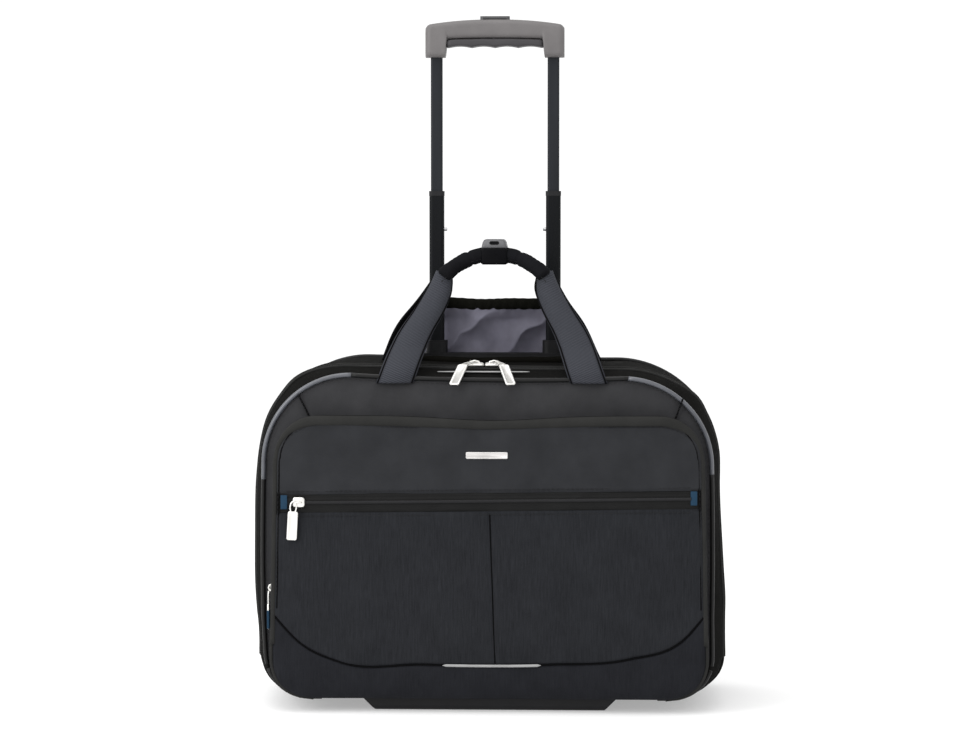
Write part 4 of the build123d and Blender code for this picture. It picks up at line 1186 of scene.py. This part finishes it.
def make_slider(word, node, body, place, along, out, length, width):
    """A slider: a waisted crown on the coil, and the wire bail over it."""
    along, out = np.array(along, float), np.array(out, float)
    across = np.cross(out, along)
    half, side = length / 2, width / 2
    sections = [(-0.6, half, side * 0.9, 2.2), (0.4, half + 0.2, side, 2.4), (1.4, half, side, 2.4),
                (2.0, half - 0.8, side - 0.8, 2.0), (2.2, half - 2.4, side - 2.0, 1.6)]
    stack(f"{word}_crown", sections, place, (along, across, out), M["pull"], body, "pull_metal", node)
    bow = ((-0.55, 1.6), (-0.5, 3.4), (0.0, 4.4), (0.5, 3.4), (0.55, 1.6))
    arch = [np.array(place) + along * (half * a) + out * h for a, h in bow]
    bail = tube(f"{word}_bail", resample(arch, 0.7), WIRE, M["pull"], up=across, sides=8)
    attach(bail, body, "pull_metal")


def make_pull(word, node, body, hinge, down, face, loop_length, length, width, tilt=0.0, tip=None):
    """A wire loop through the bail, and a flat pull with a raised rim hanging from it."""
    down, face = (np.array(v, float) / np.linalg.norm(v) for v in (down, face))
    across = np.cross(down, face)
    turns = np.linspace(0, 2 * math.pi, 25)[:-1]
    hinge = np.array(hinge, float)
    ring = [hinge + down * (loop_length / 2 * (1 - math.cos(t))) + across * (LOOP_HALF * math.sin(t))
            for t in turns]
    loop = tube(f"{word}_loop", ring, WIRE, M["pull"], closed=True, up=face, sides=8)
    attach(loop, body, "pull_metal")
    run = down * math.cos(tilt) - face * math.sin(tilt)
    out = face * math.cos(tilt) + down * math.sin(tilt)
    end = hinge + down * (loop_length - 1.6)
    centre = end + run * (length / 2) - out * 0.9
    half, side = length / 2, width / 2
    sections = [(0, half - 0.4, side - 0.4, 1.6), (0.4, half, side, 1.8), (1.5, half, side, 1.8),
                (1.9, half - 0.4, side - 0.4, 1.5), (1.9, half - 1.3, side - 1.3, 0.9),
                (1.55, half - 1.7, side - 1.7, 0.8)]
    stack(f"{word}_tab", sections, centre, (run, across, out), M["pull"], body, "pull_metal", node)
    if tip:
        far = end + run * (length * 0.62) - out * 1.1
        stack(f"{word}_band", pillow(length * 0.36, side + 0.5, 0.8, 2.4, 0.4), far, (run, across, out),
              M[tip], body, "blue_tab")


def make_main_sliders():
    for side, word in ((-1, "left"), (1, "right")):
        low, high = corners(f"main_slider_{word}")
        centre = ((low[0] + high[0]) / 2, (low[1] + high[1]) / 2, low[2])
        make_slider(f"main_{word}", f"main_slider_{word}", f"{word}_main_slider", centre,
                    (1, 0, 0), (0, -0.15, 1), 17.0, 9.5)
        splay, slope = math.radians(side * 18), math.radians(4)
        down = (math.cos(slope) * math.sin(splay), -math.cos(slope) * math.cos(splay), -math.sin(slope))
        face = np.cross(np.cross(down, (0, 0, 1)), down)
        hinge = (centre[0] + side * 2.5, ZIP_Y - 4.0, TOP + 4.0)
        make_pull(f"main_{word}_pull", f"main_pull_{word}", f"{word}_main_pull", hinge, down, face,
                  25.0, 30.0, 9.6, 0.54)


def make_face_slider():
    low, high = corners("face_slider")
    centre = ((low[0] + high[0]) / 2 + 1, panel_depth(low[0], FACE_ZIP_Z) - 0.6, (low[2] + high[2]) / 2 + 0.6)
    make_slider("face", "face_slider", "face_zip_slider", centre, (1, 0, 0), (0, -1, 0), 11.0, 9.5)
    hinge = (centre[0] - 4.5, centre[1] - 3.0, centre[2] + 1.0)
    make_pull("face_pull", "face_pull", "face_zip_pull", hinge, (-0.055, 0, -1), (0, -1, 0), 11.0, 27.0, 9.6)


def make_side_slider():
    low, high = corners("side_slider")
    centre = (-float(panel_half(118.0)) - 0.4, POCKET_COIL_Y, (low[2] + high[2]) / 2)
    make_slider("side", "side_slider", "side_zip_slider", centre, (0, 0, 1), (-1, 0, 0), 10.0, 8.0)
    hinge = (centre[0] - 4.2, POCKET_COIL_Y, centre[2] - 3.5)
    make_pull("side_pull", "side_pull", "side_zip_pull", hinge, (0, 0, -1), (-1, 0, 0),
              13.0, 24.0, 8.4, 0.0, "blue")


# ---------------------------------------------------------------- carry handles
STRAP_STATIONS = (315.0, 359.0, 377.0, 392.0, 412.0)
STRAP_OUTER = (109.0, 89.5, 76.5, 66.5, 53.0)
STRAP_INNER = (73.0, 56.0, 46.0, 40.5, 43.5)
STRAP_WIDTH = 38.0
STRAP_COLUMNS = 17
EDGE_CORD = 0.8
GRIP_HALF = 47.5                      # half the padded grip's span, and how far it arches up
GRIP_RISE = 20.0
GRIP_RADIUS = 7.2
HANDLE_SHIFT = 2.3
CLIP_HALF = 12.85


def handle_depth(z, foot, grip):
    """Where a handle's leaning plane is at a height."""
    return foot[0] + (z - foot[1]) * (grip[0] - foot[0]) / (grip[1] - foot[1])


def make_strap(name, side, foot, grip, body, material, spread_by, nodes):
    """Webbing that lies flat at its foot and curls up round the padded grip. spread_by moves its middle out."""
    back = 1.0 if foot[0] < 0 else -1.0
    lie_flat = 25.0 if foot[0] < 0 else 0.0      # the front straps come over the piping before they lean
    levels = np.linspace(STRAP_STATIONS[0], STRAP_STATIONS[-1], 46)
    share = (levels - levels[0]) / (levels[-1] - levels[0])
    wider = spread_by * bump_between(share, -0.6, 1.0)
    outer = smooth_curve(levels, STRAP_STATIONS, STRAP_OUTER) + wider
    inner = smooth_curve(levels, STRAP_STATIONS, STRAP_INNER) + wider
    z = foot[1] + (levels - levels[0]) * (grip[1] - 16 - foot[1]) / (levels[-1] - levels[0])
    rows = []
    for level, out_x, in_x in zip(z, outer, inner):
        middle, chord = (out_x + in_x) / 2, min(out_x - in_x, STRAP_WIDTH * 0.985)
        half_angle = chord_angle(chord / STRAP_WIDTH)
        radius = STRAP_WIDTH / (2 * half_angle)
        angles = np.linspace(-half_angle, half_angle, STRAP_COLUMNS)
        x = side * (middle + radius * np.sin(angles)) + HANDLE_SHIFT
        y = handle_depth(level, foot, grip)
        if lie_flat:
            rise = np.clip((level - foot[1] - 8.0) / lie_flat, 0, 1)
            y = (foot[0] - 2.6) * (1 - rise) + y * rise
        y = y + back * radius * (1 - np.cos(angles)) - back * 1.0
        rows.append(np.column_stack([x, y, np.full(STRAP_COLUMNS, level)]))
    grid = np.array(rows)
    centre = grid[:, STRAP_COLUMNS // 2]
    along = np.concatenate([[0], np.cumsum(np.linalg.norm(np.diff(centre, axis=0), axis=1))])
    across = np.linspace(-STRAP_WIDTH / 2, STRAP_WIDTH / 2, STRAP_COLUMNS)
    v, u = np.meshgrid(along, across, indexing="ij")
    strap = surface(name, grid, material, outward=(centre[:, 0].mean(), 400 * back + foot[0], 360), uv=(u, v))
    thicken(strap, 1.7)
    attach(strap, body, "webbing", *nodes)
    for word, column in (("outer", -2), ("inner", 1)):
        # Near-black cords along both edges of the strap, in the same material as the painted seam shade.
        cord = tube(f"{name}_{word}_edge", grid[:, column], EDGE_CORD, M["seam"], sides=8)
        attach(cord, body, "webbing")


def chord_angle(ratio):
    """Half the angle of an arc whose chord is that share of its length."""
    low, high = 0.02, 3.0
    for _ in range(40):
        middle = (low + high) / 2
        if math.sin(middle) / middle > ratio:
            low = middle
        else:
            high = middle
    return low


def make_grip(name, foot, grip, body, node):
    """A padded grip: a stuffed fabric tube with a seam each side of the clip."""
    radius = (GRIP_HALF**2 + GRIP_RISE**2) / (2 * GRIP_RISE)
    sweep = math.asin(GRIP_HALF / radius)
    angles = np.linspace(-sweep * 1.04, sweep * 1.04, 90)
    x = radius * np.sin(angles)
    z = grip[1] - radius + radius * np.cos(angles)
    path = np.column_stack([x + HANDLE_SHIFT, handle_depth(z, foot, grip), z])
    thick = GRIP_RADIUS - 1.1 * np.exp(-((np.abs(x) - 23.5) / 1.3) ** 2)
    thick = thick - 0.5 * bump_between(np.abs(x), 24, 46) * np.sin(x * 0.9) ** 2 * 0.6
    thick = thick * np.clip(0.55 + (np.abs(angles[0]) - np.abs(angles)) / 0.05, 0.55, 1.0)
    pad = tube(name, path, thick, M["grip"], sides=24)
    wrinkle(pad, 9.0, 0.5, 5.0)
    attach(pad, body, "grip_fabric", node)
    front = -1 if foot[0] < 0 else 1
    seam = path + (0, 0, -GRIP_RADIUS * 0.55)
    for word, part in (("left", seam[x < -8]), ("right", seam[x > 8])):
        line = part + (0, front * GRIP_RADIUS * 0.82, 0)
        stitches(f"{name}_seam_{word}", line, (0, front, -0.7), body)


def wrinkle(obj, size, amount, seed):
    """Small folds: each point moves along its normal by a smooth random amount."""
    mesh = obj.data
    normals = [v.normal.copy() for v in mesh.vertices]
    for vertex, normal in zip(mesh.vertices, normals):
        push = noise.noise(vertex.co / (size * MM) + Vector((seed, seed, seed))) * amount * MM
        vertex.co += normal * push


def make_clip(name, side, node, body):
    """Half of the snap clip that holds both grips together, with a pressed oval on its cap."""
    shell = [(0, CLIP_HALF, 8.2, 2.5), (15.5, CLIP_HALF, 8.2, 2.5), (17.0, CLIP_HALF - 0.8, 7.5, 2.5),
             (17.8, CLIP_HALF - 2.0, 6.4, 2.5)]
    stack(name, shell, (HANDLE_SHIFT, side * 0.4, 427.9), ((1, 0, 0), (0, 0, 1), (0, side, 0)), M["clip"],
          body, "black_plastic", node)
    # The cap's light grey is a painted highlight of its glossy top; the dark oval keeps the clip's own black.
    cap = [(0, 12.3, 8.0, 2.0), (2.0, 12.0, 7.8, 2.6), (5.6, 11.2, 6.0, 3.0), (7.6, 10.0, 4.4, 3.0),
           (8.4, 8.4, 3.0, 2.4)]
    stack(name + "_cap", cap, (HANDLE_SHIFT, side * 8.6, 435.6), ((1, 0, 0), (0, side, 0), (0, 0, 1)),
          M["clip_cap_highlight"], body, "black_plastic")
    dimple = [(0, 4.6, 1.8, 1.7), (0.5, 4.6, 1.8, 1.7), (0.5, 3.9, 1.2, 1.1), (0.1, 3.4, 0.9, 0.8)]
    slope = ((1, 0, 0), (0, -side * 0.6, 0.8), Vector((0, side * 0.80, 0.60)))
    stack(name + "_dimple", dimple, (HANDLE_SHIFT, side * 15.2, 440.4), slope, M["clip"], body, "black_plastic")


def make_handles():
    front_foot, front_grip = (FRONT - 2.6, FRONT_TOP - 3.0), (-9.0, 430.0)
    rear_foot, rear_grip = (52.0, 325.0), (9.0, 429.5)
    for side, word, rear_spread, front, rear in ((-1, "left", 4.5, ["front_straps"], ["rear_straps"]),
                                                 (1, "right", -6.0, [], [])):
        make_strap(f"front_strap_{word}", side, front_foot, front_grip, "front_handle", M["webbing"],
                   0.0, front)
        # The rear straps take the near-black copy of the webbing, as painted shade.
        make_strap(f"rear_strap_{word}", side, rear_foot, rear_grip, "rear_handle", M["shaded_webbing"],
                   rear_spread, rear)
    make_grip("front_pad", front_foot, front_grip, "front_handle", "front_grip")
    make_grip("rear_pad", rear_foot, rear_grip, "rear_handle", "rear_grip")
    make_clip("clip_front", -1, "front_clip", "front_handle")
    make_clip("clip_rear", 1, "rear_clip", "rear_handle")


# ---------------------------------------------------------------- trolley
BAND_HALF = 5.6                       # half the elastic band's height


def make_cover_flap():
    """The lined flap that stands open behind the trolley, gathered on elastic along its top."""
    half, y, low = 60.0, (FLAP_LOW[1] + FLAP_HIGH[1]) / 2, FLAP_LOW[2] - 3.0
    high = ELASTIC_LOW[2] + 1.5
    a, b = np.meshgrid(np.linspace(-1, 1, 90), np.linspace(0, 1, 40), indexing="ij")
    x = a * (half + 17.0 * (1 - b) ** 2)
    z = low + (high - low) * b - 1.5 * (1 - a**2) * b
    flat = np.stack([x, np.zeros_like(x), z], axis=2)
    phase = (x * 0.75 - (z - low) * 1.0) / 15.0 + 1.1 * wobble(flat, 30.0, 1.0, 4.0)
    diagonal = 2 * np.abs(np.sin(phase)) ** 0.7 - 1
    folds = 2.8 * diagonal * bump_between(b, -0.15, 1.25) + wobble(flat, 26.0, 4.2, 9.0)
    folds = folds * np.clip((1 - b) / 0.25, 0.15, 1)
    gathers = 0.6 * np.sin(x / 2.1 + 1.5 * wobble(flat, 14.0, 1.0, 2.0)) * np.clip((b - 0.8) / 0.2, 0, 1)
    grid = np.stack([x, y - 0.6 + folds + gathers, z], axis=2)
    lining = surface("flap_lining_sheet", grid, M["flap"], outward=(0, 300, 350), uv=(x, z))
    attach(lining, "cover_flap", "flap_lining", "flap_panel")
    cover = surface("flap_cover_sheet", grid + (0, 1.2, 0), M["body"], outward=(0, 0, 350), uv=(x, z))
    attach(cover, "cover_flap", "body_fabric")
    x = np.linspace(-half - 1, half + 1, 160)
    top = ELASTIC_HIGH[2] - 1.2 - 1.6 * (1 - (x / half) ** 2) + 0.4 * np.sin(x / 9.0)
    ripple = 0.55 * np.sin(x / 1.5 + 2.0 * np.sin(x / 17.0))
    rows = []
    for turn in np.linspace(0, 2 * math.pi, 17)[:-1]:
        thick = (2.1 + ripple) * math.sin(turn)
        tall = (BAND_HALF + 0.2 * ripple) * math.cos(turn)
        rows.append(np.column_stack([x, y + thick, top - BAND_HALF + tall]))
    band = surface("flap_elastic_band", np.array(rows), M["elastic"], close_u=True)
    recalculate(band)
    attach(band, "cover_flap", "elastic", "flap_elastic")


def make_trolley_opening():
    """The rolled edge in front of the trolley's opening."""
    x = np.linspace(-82.0, 80.0, 60)
    z = TOP + 0.8 - 1.6 * (1 - (x / 82.0) ** 2) + 0.3 * np.sin(x / 11.0)
    line = np.column_stack([x, np.full(60, TRAY_LOW[1] - 2.0), z])
    roll = tube("opening_roll", line, 4.0, M["roll"], sides=16)
    wrinkle(roll, 14.0, 0.8, 3.0)
    attach(roll, "case", "body_fabric")


LEG_INNER = 46.5
GRIP_UNDER_Z = 631.4
GRIP_TOP_Z = 658.8
BUTTON_Z = 656.2


def leg_share(x):
    """0 between the trolley grip's legs and 1 over them."""
    share = np.clip((np.abs(x) - LEG_INNER) / 2.6, 0, 1)
    return share * share * (3 - 2 * share)


def finger_waves(x):
    """Height of the underside between the legs: four shallow waves."""
    return GRIP_UNDER_Z + 1.5 * np.abs(np.cos(math.pi * x / 23.0 + math.pi / 2))


def parting(x):
    """Height of the line between the grip's two mouldings."""
    return GRIP_LOW_Z + 18.8 - 1.0 * (np.abs(x) / LEG_INNER) ** 2


def upper_under(x):
    return parting(x) * (1 - leg_share(x)) + GRIP_LOW_Z * leg_share(x)


def grip_top(x):
    """Height of the trolley grip's top: a long arch that drops to softly rounded ends."""
    half = GRIP_TOP_HIGH[0]
    reach = np.abs(x) / half
    return GRIP_TOP_Z - 5.4 * reach**2.2 - 3.0 * np.clip((reach - 0.93) / 0.07, 0, 1) ** 2


def grip_shell(name, half, low, high, material, node, inset=0.0):
    """A moulding of the grip between two heights, with rings set closer at its ends and at its legs."""
    x = np.unique(np.concatenate([np.linspace(-half, half, 180), np.linspace(-half, -half + 6, 14),
                                  np.linspace(half - 6, half, 14), np.linspace(-LEG_INNER - 3, -LEG_INNER, 12),
                                  np.linspace(LEG_INNER, LEG_INNER + 3, 12)]))
    x = x[np.abs(x) <= half]
    rows = []
    depth = (GRIP_TOP_HIGH[1] - GRIP_TOP_LOW[1]) / 2 - inset
    for value in x:
        edge = np.clip((6.0 - (half - abs(value))) / 6.0, 0, 1)
        round_in = 1 - math.sqrt(max(0.0, 1 - edge**2))
        bottom, top = float(low(value)), float(high(value))
        middle, tall = (bottom + top) / 2, max(1.0, (top - bottom) / 2)
        ring = rounded_ring(max(1.5, depth - 5.0 * round_in), tall, min(5.5, tall * 0.7), 6)
        across = np.full(len(ring), value)
        rows.append(np.column_stack([across, TROLLEY_Y + ring[:, 0], middle + ring[:, 1]]))
    shell = surface(name, np.array(rows), material, close_v=True)
    cap_ends(shell, len(ring))
    recalculate(shell)
    attach(shell, "inner_stage", "trolley_grip", node)


def make_trolley():
    """The trolley's grip, and the button in its top with five ribs."""
    grip_shell("grip_upper", GRIP_TOP_HIGH[0], upper_under, grip_top, M["handle"], "grip_top_shell")
    # The lower moulding takes the darker copy of the grip plastic, as painted shade of the underside.
    grip_shell("grip_lower", LEG_INNER + 2.0, finger_waves, lambda x: parting(x) - 0.5, M["handle_underside_shade"],
               "grip_lower_shell", inset=0.8)
    cap = ("button_cap", pillow(14.5, 6.0, 3.0, 4.6, 1.2), 0.0, BUTTON_Z)
    rib = pillow(0.5, 4.2, 0.4, 0.7, 0.2)
    ribs = [(f"button_rib_{k}", rib, 3.0 * (k - 2), BUTTON_Z + 4.4) for k in range(5)]
    for name, sections, x, z in [cap, *ribs]:
        stack(name, sections, (x, TROLLEY_Y, z), FACING_UP, M["button"], "trolley_button", "button_plastic")


# ---------------------------------------------------------------- CAD nodes that keep their shape
NODE_FINISH = {
    "board": ["base_board"],
    "lining": ["divider_lining"],
    "plastic": ["trolley_housing", "tube_foot", "wheel_housing_left", "wheel_housing_right", "front_foot",
                "kick_plate", "middle_caps"],
    "tube_outer": ["fixed_tubes", "middle_tubes"],
    "tube_inner": ["inner_tubes"],
    "steel": ["wheel_axles", "button_spring", "push_rods", "lock_pin_left", "lock_pin_right",
              "bearings_left", "bearings_right"],
    "screw": ["kick_plate_screws"],
    "button": ["release_button"],
    "tyre": ["tyre_left", "tyre_right"],
    "hub": ["hub_left", "hub_right"],
}


def finish_nodes():
    for kind, nodes in NODE_FINISH.items():
        for node in nodes:
            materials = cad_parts[node].data.materials
            materials.clear()
            materials.append(M[kind])


# ---------------------------------------------------------------- making
make_camera()
bpy.context.scene.view_settings.view_transform = "Standard"
make_world(WORLD_STRENGTH)
make_area_light("top_light", (-0.5, -0.6, 2.6), (0.0, 0.0, 0.2), (2.6, 2.0), 30.0)
make_area_light("left_light", (-1.25, -1.15, 0.95), (0.0, 0.0, 0.25), (0.9, 1.0), 15.0)
floor_grid = [[(x, y, FLOOR_LEVEL) for y in (-FLOOR_REACH, FLOOR_REACH)] for x in (-FLOOR_REACH, FLOOR_REACH)]
surface("floor", floor_grid, floor_material(), outward=(0, 0, -100))

make_case_skin()
make_back_skin()
make_front_wall()
make_front_face()
make_front_piping()
make_main_zip()
make_lower_panel()
make_upper_panel()
make_bottom_band()
make_pocket_edges()
make_lower_edges()
make_seams()
make_face_zip()
make_reflective_strips()
make_nameplate()
make_main_sliders()
make_face_slider()
make_side_slider()
make_handles()
make_cover_flap()
make_trolley_opening()
make_trolley()
finish_nodes()
